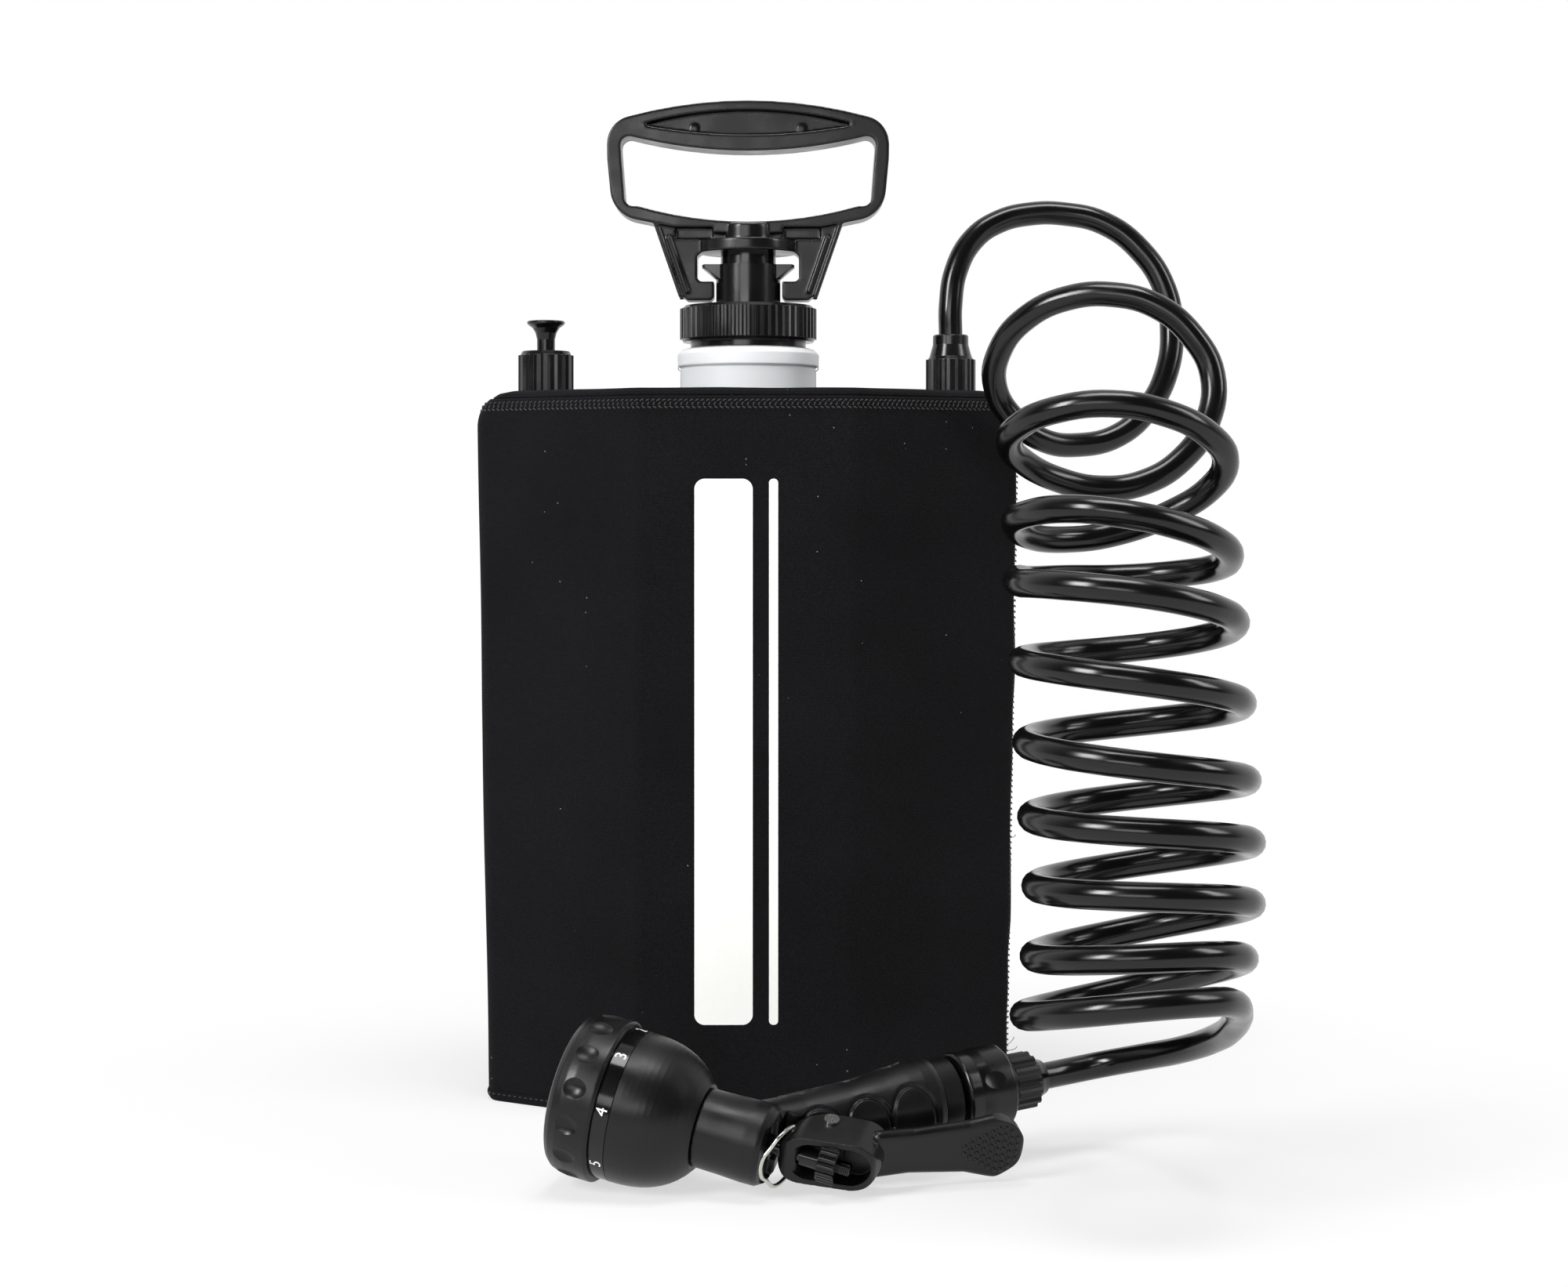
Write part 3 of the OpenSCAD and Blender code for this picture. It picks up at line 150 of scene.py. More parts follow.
def knitted_neoprene(colours, sizes):
    """Black neoprene with a nylon knit face: nearly no gloss, a soft sheen at its edges and fine rows of
    loops. Real loops are about 0.45 mm apart; they are drawn at the pitch in the sizes, so that they show.
    White ink lies on the front."""
    knit_roughness, ink_roughness, knit_relief, ink_relief = 0.88, 0.6, 0.7, 0.12
    material, shader, here = start_material(
        "Neoprene_nylon_knit", colours.neoprene, knit_roughness, ior=1.46, specular_ior_level=0.1,
        sheen_weight=0.03, sheen_roughness=0.6, sheen_tint=(0.55, 0.55, 0.6, 1))
    along_cloth = {"Vector": (here["Vector"][0], "UV")}
    wale, course = (add_node(material, "TexWave", {"bands_direction": way, "Scale": WAVE_PITCH / pitch,
                                                   "Distortion": 0.6, "Detail": 1.0}, along_cloth)
                    for way, pitch in (("X", sizes.knit_pitch), ("Y", 0.8 * sizes.knit_pitch)))
    loops = add_node(material, "Math", {"operation": "MULTIPLY"}, {0: (wale, "Fac"), 1: (course, "Fac")})
    fuzz = add_node(material, "TexNoise", {"Scale": 1 / (0.7 * MM), "Detail": 3.0}, here)
    cloud = add_node(material, "TexNoise", {"Scale": 1 / (60 * MM), "Detail": 4.0}, here)
    grain = add_node(material, "Math", {"operation": "ADD"}, {0: (loops, 0), 1: (fuzz, "Fac")})
    bump = add_node(material, "Bump", {"Distance": 0.25 * MM}, {"Height": (grain, 0)})
    link(material, bump, "Normal", shader, "Normal")
    lift = add_node(material, "MapRange", {"From Min": 0.3, "From Max": 0.75, "To Min": 0.62, "To Max": 1.45},
                    {"Value": (fuzz, "Fac")})
    age = add_node(material, "MapRange", {"From Min": 0.35, "From Max": 0.7, "To Min": 0.85, "To Max": 1.2},
                   {"Value": (cloud, "Fac")})
    both = add_node(material, "Math", {"operation": "MULTIPLY"}, {0: (lift, 0), 1: (age, 0)})
    dark = add_node(material, "VectorMath", {"operation": "SCALE", 0: tuple(colours.neoprene)},
                    {"Scale": (both, 0)})
    # Lint: a few pale fibres about half a millimetre long, one to every few square centimetres
    cell = add_node(material, "TexVoronoi", {"Scale": 1 / (7 * MM)}, here)
    near = add_node(material, "Math", {"operation": "LESS_THAN", 1: 0.045}, {0: (cell, "Distance")})
    lot = add_node(material, "SeparateColor", {}, {0: (cell, "Color")})
    rare = add_node(material, "Math", {"operation": "GREATER_THAN", 1: 0.8}, {0: (lot, 0)})
    lint = add_node(material, "Math", {"operation": "MULTIPLY"}, {0: (near, 0), 1: (rare, 0)})
    worn = add_node(material, "Mix", {"data_type": "RGBA", 7: (0.2, 0.2, 0.2, 1)},
                    {0: (lint, 0), 6: (dark, 0)})
    # Two printed stripes with round corners on the front, each by its middle, half width and corner in X
    front = add_node(material, "SeparateXYZ", {}, here)
    facing = add_node(material, "Math", {"operation": "LESS_THAN", 1: -0.03}, {0: (front, 1)})
    middle_z, half_z = 177 * MM, 131 * MM
    printed = None
    for middle, half, corner in ((-11.0 * MM, 14.0 * MM, 5 * MM), (13.0 * MM, 2.2 * MM, 2 * MM)):
        off = add_node(material, "VectorMath", {"operation": "SUBTRACT", 1: (middle, 0, middle_z)}, here)
        flat = add_node(material, "VectorMath", {"operation": "MULTIPLY", 1: (1, 0, 1)}, {0: (off, 0)})
        size = add_node(material, "VectorMath", {"operation": "ABSOLUTE"}, {0: (flat, 0)})
        straight = (half - corner, 0, half_z - corner)
        over = add_node(material, "VectorMath", {"operation": "SUBTRACT", 1: straight}, {0: (size, 0)})
        out = add_node(material, "VectorMath", {"operation": "MAXIMUM", 1: (0, 0, 0)}, {0: (over, 0)})
        far = add_node(material, "VectorMath", {"operation": "LENGTH"}, {0: (out, 0)})
        soft_edge = {"From Min": corner + 0.05 * MM, "From Max": corner - 0.1 * MM}
        inside = add_node(material, "MapRange", soft_edge, {"Value": (far, "Value")})
        if printed:
            inside = add_node(material, "Math", {"operation": "MAXIMUM"}, {0: (printed, 0), 1: (inside, 0)})
        printed = inside
    mask = add_node(material, "Math", {"operation": "MULTIPLY"}, {0: (printed, 0), 1: (facing, 0)})
    face = add_node(material, "Mix", {"data_type": "RGBA", 7: (*colours.ink, 1)},
                    {0: (mask, 0), 6: (worn, 2)})
    link(material, face, 2, shader, "Base Color")
    # The ink is glossier than the knit and fills it
    matt = add_node(material, "MapRange", {"To Min": knit_roughness, "To Max": ink_roughness},
                    {"Value": (mask, 0)})
    link(material, matt, 0, shader, "Roughness")
    filled = add_node(material, "MapRange", {"To Min": knit_relief, "To Max": ink_relief},
                      {"Value": (mask, 0)})
    link(material, filled, 0, bump, "Strength")
    return material


def spun_thread(colours):
    """Spun polyester thread: matt and a little lighter than the cloth where its ply catches the light."""
    material, shader, here = start_material("Polyester_thread", colours.thread, 0.7, sheen_weight=0.3)
    ply = add_node(material, "TexNoise", {"Scale": 1 / (0.5 * MM), "Detail": 2.0}, here)
    low, high = ((*[k * c for c in colours.thread], 1) for k in (0.5, 2.2))
    tone = add_node(material, "Mix", {"data_type": "RGBA", 6: low, 7: high}, {0: (ply, "Fac")})
    link(material, tone, 2, shader, "Base Color")
    bump = add_node(material, "Bump", {"Strength": 0.5, "Distance": 0.1 * MM}, {"Height": (ply, "Fac")})
    link(material, bump, "Normal", shader, "Normal")
    return material


def blown_polyethylene(colours):
    """Blow-moulded HDPE in its natural white: waxy, slightly translucent, with a faint orange peel."""
    material, shader, here = start_material("Natural_HDPE", colours.polyethylene, 0.42, ior=1.54,
                                            subsurface_weight=0.15, subsurface_scale=0.004)
    peel = add_node(material, "TexNoise", {"Scale": 1 / (3 * MM), "Detail": 2.0}, here)
    edge = add_node(material, "Bevel", {"samples": 6, "Radius": 1.3 * MM})
    bump = add_node(material, "Bump", {"Strength": 0.35, "Distance": 0.15 * MM},
                    {"Height": (peel, "Fac"), "Normal": (edge, "Normal")})
    link(material, bump, "Normal", shader, "Normal")
    gloss = add_node(material, "MapRange", {"To Min": 0.34, "To Max": 0.5}, {"Value": (peel, "Fac")})
    link(material, gloss, 0, shader, "Roughness")
    return material


def extruded_vinyl(colours):
    """Extruded PVC hose: wet black gloss with long, shallow waves from the die."""
    material, shader, here = start_material("Plasticised_PVC", colours.vinyl, 0.2, ior=1.53,
                                            specular_ior_level=0.4)
    wave = add_node(material, "TexNoise", {"Scale": 1 / (14 * MM), "Detail": 1.0}, here)
    gloss = add_node(material, "MapRange", {"To Min": 0.17, "To Max": 0.25, "From Min": 0.3, "From Max": 0.7},
                     {"Value": (wave, "Fac")})
    link(material, gloss, 0, shader, "Roughness")
    bump = add_node(material, "Bump", {"Strength": 0.2, "Distance": 0.04 * MM}, {"Height": (wave, "Fac")})
    link(material, bump, "Normal", shader, "Normal")
    return material


def drawn_steel(name, colour):
    """Steel wire, pins and turned parts: drawing marks break up the highlight."""
    material, shader, here = start_material(name, colour, 0.22, metallic=1.0)
    marks = add_node(material, "TexNoise", {"Scale": 1 / (0.6 * MM), "Detail": 3.0}, here)
    gloss = add_node(material, "MapRange", {"To Min": 0.14, "To Max": 0.34}, {"Value": (marks, "Fac")})
    link(material, gloss, 0, shader, "Roughness")
    return material


def printed_ink(colours):
    """Pad-printed white ink: opaque, with a slightly uneven edge to its gloss."""
    material, shader, here = start_material("Pad_print_ink", colours.ink, 0.5)
    film = add_node(material, "TexNoise", {"Scale": 1 / (0.8 * MM), "Detail": 2.0}, here)
    gloss = add_node(material, "MapRange", {"To Min": 0.42, "To Max": 0.58}, {"Value": (film, "Fac")})
    link(material, gloss, 0, shader, "Roughness")
    return material


# Each moulded finish: its colour, roughness, grain and depth in millimetres, and what it has of its own
MOULDED = {
    # Glass-filled ABS from a grained mould: broad, soft highlights
    "Grained_ABS": ("grained", 0.36, 0.5, 0.03, {"specular_ior_level": 0.33}),
    # Polypropylene: satin, waxy, with streaks where the melt flowed
    "Satin_polypropylene": ("satin", 0.27, 0.7, 0.02, {"specular_ior_level": 0.4}),
    # The same plastic from a smooth mould, on the barrel, collar and nuts: clear upright highlights
    "Smooth_polypropylene": ("satin", 0.2, 2.0, 0.01, {"spread": 0.05}),
    # Polished acetal and ABS: small sharp highlights
    "Polished_ABS": ("polished", 0.15, 1.5, 0.006, {"spread": 0.05, "specular_ior_level": 0.42}),
    # Nitrile and thermoplastic rubber: matt, dusty
    "Nitrile_rubber": ("rubber", 0.68, 0.4, 0.04, {}),
}


def finish(name):
    """The material of that name, made on its first use."""
    if name in bpy.data.materials:
        return bpy.data.materials[name]
    colours, sizes = bpy.context.scene.shower_colours, bpy.context.scene.shower_sizes
    if name in MOULDED:
        colour, roughness, grain, height, own = MOULDED[name]
        return moulded_plastic(name, tuple(getattr(colours, colour)), roughness, grain, height, **own)
    makers = {
        "Neoprene_nylon_knit": lambda: knitted_neoprene(colours, sizes),
        "Polyester_thread": lambda: spun_thread(colours),
        "Natural_HDPE": lambda: blown_polyethylene(colours),
        "Plasticised_PVC": lambda: extruded_vinyl(colours),
        "Nickel_plated_steel": lambda: drawn_steel(name, colours.steel),
        "Blackened_steel": lambda: drawn_steel(name, colours.blackened),
        "Pad_print_ink": lambda: printed_ink(colours),
    }
    return makers[name]()


def clear():
    if bpy.context.mode != "OBJECT":
        bpy.ops.object.mode_set(mode="OBJECT")
    bpy.ops.object.select_all(action="DESELECT")


def pick(piece):
    clear()
    piece.select_set(True)
    bpy.context.view_layer.objects.active = piece


def named(name, matrix=None):
    """Names the new primitive and puts its place, set in the given frame, into its mesh."""
    piece = bpy.context.object
    piece.name = piece.data.name = name
    if matrix is not None:
        piece.matrix_world = matrix @ piece.matrix_world
    pick(piece)
    bpy.ops.object.transform_apply(location=True, rotation=True, scale=True)
    return piece


def new_object(name, data):
    """An object of that mesh or curve, in the scene."""
    piece = bpy.data.objects.new(name, data)
    bpy.context.scene.collection.objects.link(piece)
    return piece


def smooth(piece, degrees=None):
    """Shades a piece smooth, all over or up to an angle between its faces."""
    pick(piece)
    if degrees is None:
        bpy.ops.object.shade_smooth()
    else:
        bpy.ops.object.shade_smooth_by_angle(angle=math.radians(degrees))
    return piece


def edit(piece, *steps):
    """Runs edit-mode steps on the whole of a piece."""
    pick(piece)
    bpy.ops.object.mode_set(mode="EDIT")
    bpy.ops.mesh.select_all(action="SELECT")
    for step in steps:
        step()
    bpy.ops.object.mode_set(mode="OBJECT")


def modify(piece, kind, **settings):
    """Adds a modifier, sets it and applies it."""
    pick(piece)
    bpy.ops.object.modifier_add(type=kind)
    modifier = piece.modifiers[-1]
    for key, value in settings.items():
        setattr(modifier, key, value)
    bpy.ops.object.modifier_apply(modifier=modifier.name)


def join(name, pieces):
    pick(pieces[0])
    for piece in pieces[1:]:
        piece.select_set(True)
    bpy.ops.object.join()
    pieces[0].name = pieces[0].data.name = name
    return pieces[0]


def dress(piece, material, body, *nodes):
    """Gives a finished piece its material, its body and the CAD nodes it stands for."""
    piece.data.materials.clear()
    piece.data.materials.append(finish(material))
    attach(piece, body)
    if nodes:
        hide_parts(*nodes)


def finish_nodes(material, *nodes):
    """Gives CAD nodes that keep their shape their real finish."""
    for node in nodes:
        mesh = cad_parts[node].data
        mesh.materials.clear()
        mesh.materials.append(finish(material))


def copy_node(node, name):
    """A merged copy of a CAD node's mesh."""
    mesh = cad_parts[node].data.copy()
    mesh.name = name
    mesh.materials.clear()
    piece = new_object(name, mesh)
    edit(piece, lambda: bpy.ops.mesh.remove_doubles(threshold=2e-6),
         bpy.ops.mesh.customdata_custom_splitnormals_clear)
    return piece


def melt(piece, voxel, rounds):
    """Remeshes a closed piece, joined solids and all, and rounds its edges as a mould does."""
    pick(piece)
    piece.data.remesh_voxel_size = voxel * MM
    piece.data.remesh_voxel_adaptivity = 0
    bpy.ops.object.voxel_remesh()
    modify(piece, "SMOOTH", iterations=rounds, factor=0.5)
    return smooth(piece)


def block(place, size, turn=0.0, matrix=None):
    """A block by its middle and size in millimetres, turned about Z."""
    clear()
    bpy.ops.mesh.primitive_cube_add(size=MM, location=Vector(place) * MM, rotation=(0, 0, turn), scale=size)
    return named("block", matrix)


def round_bar(place, radius, length, turn=0.0, matrix=None):
    """A bar along Y by its middle, radius and length in millimetres, turned about Z."""
    clear()
    bpy.ops.mesh.primitive_cylinder_add(vertices=96, radius=radius * MM, depth=length * MM,
                                        location=Vector(place) * MM, rotation=(math.pi / 2, 0, turn))
    return named("round", matrix)


def rod(start, end, radius, matrix=Matrix(), sides=16):
    """A bar with rounded ends between two points, in millimetres."""
    a, b = Vector(start) * MM, Vector(end) * MM
    clear()
    bpy.ops.mesh.primitive_cylinder_add(vertices=sides, radius=radius * MM, depth=(b - a).length,
                                        location=(a + b) / 2,
                                        rotation=(b - a).to_track_quat("Z", "Y").to_euler())
    piece = named("bar", matrix)
    modify(piece, "BEVEL", width=0.3 * radius * MM, segments=2, limit_method="ANGLE")
    return piece


def ball(place, size, matrix, turn, segments):
    """An ellipsoid by its middle and half sizes, in millimetres."""
    clear()
    bpy.ops.mesh.primitive_uv_sphere_add(segments=segments, ring_count=segments // 2, radius=MM,
                                         location=Vector(place) * MM, rotation=turn, scale=size)
    return named("ball", matrix)


def line(name, points, radius, round_steps, steps, handles="AUTO"):
    """A round curve through points in millimetres, with its radius in metres."""
    curve = bpy.data.curves.new(name, "CURVE")
    curve.dimensions = "3D"
    curve.bevel_depth, curve.bevel_resolution, curve.resolution_u = radius, round_steps, steps
    curve.use_fill_caps = True
    spline = curve.splines.new("BEZIER")
    spline.bezier_points.add(len(points) - 1)
    for knot, place in zip(spline.bezier_points, points):
        knot.co = Vector(place) * MM
        knot.handle_left_type = knot.handle_right_type = handles
    return new_object(name, curve)


def wire(name, points, radius, matrix=Matrix(), sides=10, handles="AUTO"):
    """A round wire or thread through points in millimetres, as a mesh."""
    pick(line(name, points, radius * MM, max((sides - 4) // 2, 0), 5, handles))
    bpy.ops.object.convert(target="MESH")
    piece = named(name, matrix)
    edit(piece, lambda: bpy.ops.mesh.remove_doubles(threshold=1e-6),
         lambda: bpy.ops.mesh.normals_make_consistent(inside=False))
    return smooth(piece)


def cut(piece, *tools):
    """Takes closed tools out of a piece."""
    for tool in tools:
        modify(piece, "BOOLEAN", operation="DIFFERENCE", solver="EXACT", object=tool)
        bpy.data.objects.remove(tool)
    return piece


def repeated(name, seed, matrices):
    """One mesh of copies of the seed at each place."""
    seed_points = [v.co.copy() for v in seed.data.vertices]
    seed_faces = [tuple(f.vertices) for f in seed.data.polygons]
    points, faces = [], []
    for matrix in matrices:
        first = len(points)
        points += [matrix @ p for p in seed_points]
        faces += [tuple(first + i for i in f) for f in seed_faces]
    mesh = bpy.data.meshes.new(name)
    mesh.from_pydata(points, [], faces)
    bpy.data.objects.remove(seed)
    return smooth(new_object(name, mesh))


# The nozzle's own frame, with its head along X, and the grip's frame on it
NOZZLE = (Matrix.Translation((-0.048, -0.176, 0.0343)) @ Matrix.Rotation(math.radians(-15), 4, "Z")
          @ Matrix.Rotation(math.radians(12), 4, "Y") @ Matrix.Rotation(math.radians(20), 4, "X"))
GRIP = NOZZLE @ Matrix.Translation((0.049, 0, 0)) @ Matrix.Rotation(math.radians(43), 4, "Z")
LEVER_ANGLE = math.radians(32)

# The hose's route in millimetres: up from the outlet and through the first four loose loops
RISER = ((102, 0, 381), (102, 0, 396), (105, 2, 414), (114, 5, 430), (127, 7, 439), (143, 8, 443),
         (160, 8, 443), (180, 6, 438), (198, 3, 424), (210, 0, 404), (213, -3, 384), (210, -8, 363),
         (200, -13, 344), (184, -19, 330), (163, -25, 325), (146, -31, 327), (131, -37, 337),
         (121, -44, 352), (122, -58, 370), (134, -72, 385), (152, -82, 393), (172, -90, 394),
         (192, -95, 388), (208, -98, 374), (217, -100, 356), (214, -104, 334), (202, -108, 317),
         (184, -112, 306), (163, -116, 303), (143, -122, 307), (126, -134, 315), (118, -150, 323),
         (122, -169, 331), (137, -184, 337), (158, -190, 339), (182, -188, 335), (202, -178, 326),
         (212, -163, 315), (208, -147, 303), (192, -138, 292), (168, -135, 283), (144, -142, 280),
         (126, -157, 282), (118, -178, 288), (122, -200, 292), (136, -218, 294), (158, -228, 292),
         (182, -224, 287), (201, -210, 280), (209, -190, 273))
# Round the back from there to the coil's left side
LEAD = ((206, -168, 268), (192, -152, 265), (168, -145, 263), (144, -152, 263), (126, -170, 263),
        (118, -192, 264))
# From the coil to the nozzle
TAIL = ((206, -228, 86), (208, -201, 74), (205, -173, 63), (195, -148, 53), (179.5, -127.5, 45),
        (163.5, -117, 39.5), (149.5, -117.5, 36.8))
# Each loop of the coil: middle X, Y and Z, radius, tilt with the front up and roll with the right up
LOOPS = ((161, -215, 254, 44.5, 8, -1), (163, -218, 221, 45, 5, -1), (165, -218, 187, 45, 5, -0.5),
         (167, -218, 159, 45, 7, 2), (168, -220, 132, 44.5, 9, 3.5), (165, -224, 106, 43.5, 12, 7),
         (161, -228, 86, 45, 14, 9))


def coil_points(first=180, last=2500, step=20):
    """The coil's line: each turn goes round by the right and the back while it comes down."""
    points = []
    for degrees in range(first, last, step):
        turn = (degrees - 270) / 360
        low = min(max(math.floor(turn), 0), len(LOOPS) - 2)
        share = turn - low
        held = min(max(share, 0), 1)
        a, b = LOOPS[low], LOOPS[low + 1]
        x, y, _, r, tilt, roll = (p + (q - p) * held for p, q in zip(a, b))
        z = a[2] + (b[2] - a[2]) * share
        dx, dy = r * math.cos(math.radians(degrees)), r * math.sin(math.radians(degrees))
        z += dx * math.tan(math.radians(roll)) - dy * math.tan(math.radians(tilt))
        points.append((x + dx, y + dy, z))
    return points


class SHOWER_OT_stage(bpy.types.Operator):
    """Sets the camera, the lamps, the floor and the pale surroundings"""
    bl_idname = "shower.stage"
    bl_label = "Stage"

    def execute(self, context):
        scene = context.scene
        scene.view_settings.view_transform = "Standard"
        clear()
        bpy.ops.object.camera_add(location=(0.018, -1.265, 0.297), rotation=(math.pi / 2, 0, 0))
        camera = context.object
        camera.data.lens, camera.data.sensor_width, camera.data.shift_y = 57.6, 36, -0.0905
        camera.data.clip_start = 0.02
        scene.camera = camera
        # Two upright softboxes, a broad light above and a weak one low in front: place, width, height, watts
        target = Vector((0.05, -0.08, 0.2))
        for place, width, height, watts in (
                ((-1.15, -1.25, 1.05), 0.45, 0.8, 28), ((1.3, -0.5, 1.0), 0.35, 0.8, 7),
                ((0.1, -0.35, 1.75), 0.9, 0.5, 14), ((-0.5, -2.2, 0.7), 1.2, 0.5, 8)):
            aim = (target - Vector(place)).to_track_quat("-Z", "Y").to_euler()
            bpy.ops.object.light_add(type="AREA", location=place, rotation=aim)
            lamp = context.object.data
            lamp.shape, lamp.size, lamp.size_y, lamp.energy = "RECTANGLE", width, height, watts
        clear()
        bpy.ops.mesh.primitive_plane_add(size=12, location=(0, 0, 0))
        floor = named("floor")
        floor.data.materials.append(self.paper())
        scene.world = self.room()
        return {"FINISHED"}

    def paper(self):
        """A sheet of white paper that fades to the white of the surroundings away from the object."""
        paper = bpy.data.materials.new("White_paper_floor")
        paper.use_nodes = True
        tree = paper.node_tree
        tree.nodes.remove(tree.nodes["Principled BSDF"])
        place = add_node(paper, "TexCoord")
        off = add_node(paper, "VectorMath", {"operation": "SUBTRACT", 1: (0.03, -0.12, 0)},
                       {0: (place, "Object")})
        far = add_node(paper, "VectorMath", {"operation": "LENGTH"}, {0: (off, 0)})
        fade = add_node(paper, "MapRange", {"interpolation_type": "SMOOTHSTEP", "From Min": 0.18,
                                            "From Max": 0.48, "To Min": 0.62, "To Max": 1.0},
                        {"Value": (far, "Value")})
        rays = add_node(paper, "LightPath")
        seen = add_node(paper, "Math", {"operation": "MAXIMUM"},
                        {0: (rays, "Is Camera Ray"), 1: (rays, "Is Glossy Ray")})
        shown = add_node(paper, "Math", {"operation": "MAXIMUM"},
                         {0: (seen, 0), 1: (rays, "Is Transmission Ray")})
        share = add_node(paper, "Math", {"operation": "MULTIPLY"}, {0: (fade, 0), 1: (shown, 0)})
        sheet = add_node(paper, "BsdfDiffuse", {"Color": (0.82, 0.82, 0.82, 1)})
        white = add_node(paper, "Emission", {"Color": (1, 1, 1, 1), "Strength": 1.0})
        mixed = add_node(paper, "MixShader", {}, {0: (share, 0), 1: (sheet, 0), 2: (white, 0)})
        tree.links.new(mixed.outputs[0], tree.nodes["Material Output"].inputs["Surface"])
        return paper

    def room(self):
        """White behind and at the sides, and a darker room in front, as gloss and diffuse light meet them."""
        room = bpy.data.worlds.new("White_room")
        room.use_nodes = True
        rays = add_node(room, "LightPath")
        place = add_node(room, "TexCoord")
        way = add_node(room, "SeparateXYZ", {}, {0: (place, "Generated")})
        depth = add_node(room, "MapRange", {"interpolation_type": "SMOOTHSTEP", "From Min": -0.25,
                                            "From Max": 0.55, "To Min": 0.06, "To Max": 1.0},
                         {"Value": (way, 1)})
        shown = add_node(room, "Math", {"operation": "MAXIMUM"},
                         {0: (rays, "Is Glossy Ray"), 1: (rays, "Is Transmission Ray")})
        soft = add_node(room, "Mix", {"data_type": "FLOAT", 2: 0.24}, {0: (shown, 0), 3: (depth, 0)})
        level = add_node(room, "Math", {"operation": "MAXIMUM"}, {0: (soft, 0), 1: (rays, "Is Camera Ray")})
        back = room.node_tree.nodes["Background"]
        back.inputs["Color"].default_value = (1, 1, 1, 1)
        room.node_tree.links.new(level.outputs[0], back.inputs["Strength"])
        return room


class SHOWER_OT_hose(bpy.types.Operator):
    """Lays the vinyl hose from the outlet through its coil to the nozzle"""
    bl_idname = "shower.hose"
    bl_label = "Hose"

    def execute(self, context):
        sizes = context.scene.shower_sizes
        # It runs into the ferrule and ends a little inside it
        ends = [tuple(GRIP @ Vector((depth, 0, 0)) / MM) for depth in (0.1508, 0.1485)]
        hose = line("hose", [*RISER, *LEAD, *coil_points(), *TAIL, *ends], sizes.hose_diameter / 2, 6, 6)
        hose.data.materials.append(finish("Plasticised_PVC"))
        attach(hose, "tank_unit")
        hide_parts("hose_riser", "hose_coil", "hose_tail")
        return {"FINISHED"}


# The sleeve's plan and height in millimetres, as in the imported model
SLEEVE = {"top": 352, "width": 270, "base_width": 258, "depth": 124, "side_half": 20, "panel_half": 52,
          "corner": 9, "shoulder": 18, "edge": 5}
# The middle of the overlock seam that stands off the wrap's top edge, and how far its bulge reaches
SEAM_MIDDLE, SEAM_REACH = 344.5, 3.2


def seam_bulge(z):
    """How much of the seam's bulge there is at a height, from 0 to 1."""
    return math.exp(-((z - SEAM_MIDDLE) / SEAM_REACH) ** 2)


def sleeve_ring(z, count, out=0.0):
    """Evenly spaced points round the sleeve at a height, from its right edge on, with outward normals."""
    s = SLEEVE
    half_w = (s["base_width"] + (s["width"] - s["base_width"]) * z / s["top"]) / 2
    half_d = s["depth"] / 2
    if z < 3:
        half_w, half_d = half_w - 1.5 * (3 - z) / 3, half_d - 1.5 * (3 - z) / 3
    rise = min(max(z - (s["top"] - s["shoulder"]), 0), s["shoulder"])
    half_w -= s["shoulder"] - math.sqrt(s["shoulder"] ** 2 - rise ** 2)
    lip = min(max(z - (s["top"] - s["edge"]), 0), s["edge"])
    half_d -= s["edge"] - math.sqrt(s["edge"] ** 2 - lip ** 2)
    r = s["corner"]
    middles = [(sx * (half_w - r), sy * (s["side_half"] - 0.6 * r)) for sx in (-1, 1) for sy in (-1, 1)]
    middles += [(sx * (s["panel_half"] - 0.24 * r), sy * (half_d - r)) for sx in (-1, 1) for sy in (-1, 1)]
    dense = []
    for i in range(721):
        a = 2 * math.pi * i / 720 - 0.35
        n = (math.cos(a), math.sin(a))
        c = max(middles, key=lambda m: m[0] * n[0] + m[1] * n[1])
        dense.append((c[0] + (r + out) * n[0], c[1] + (r + out) * n[1], n[0], n[1]))
    lengths = [0.0]
    for a, b in zip(dense, dense[1:]):
        lengths.append(lengths[-1] + math.hypot(b[0] - a[0], b[1] - a[1]))
    ring, k = [], 0
    for i in range(count + 1):
        want = lengths[-1] * i / count
        while k < len(dense) - 2 and lengths[k + 1] < want:
            k += 1
        span = lengths[k + 1] - lengths[k]
        t = 0 if span < 1e-9 else (want - lengths[k]) / span
        ring.append([p + (q - p) * t for p, q in zip(dense[k], dense[k + 1])])
    return ring, lengths[-1]


def cloth_wave(x, y, z):
    """How far the cloth stands off the tank, in millimetres: shallow folds, most on the right panel."""
    right = min(max((x - 25) / 60, 0), 1) * (1 if y < 0 else 0.5)
    folds = noise.noise(Vector((x / 90, y / 60, z / 26 + 0.25 * x / 60))) * 1.1 * right
    slack = noise.noise(Vector((x / 70 + 9, y / 50, z / 95))) * 0.8
    fade = min(max(z / 30, 0), 1) * min(max((340 - z) / 35, 0), 1)
    return (folds + slack) * fade


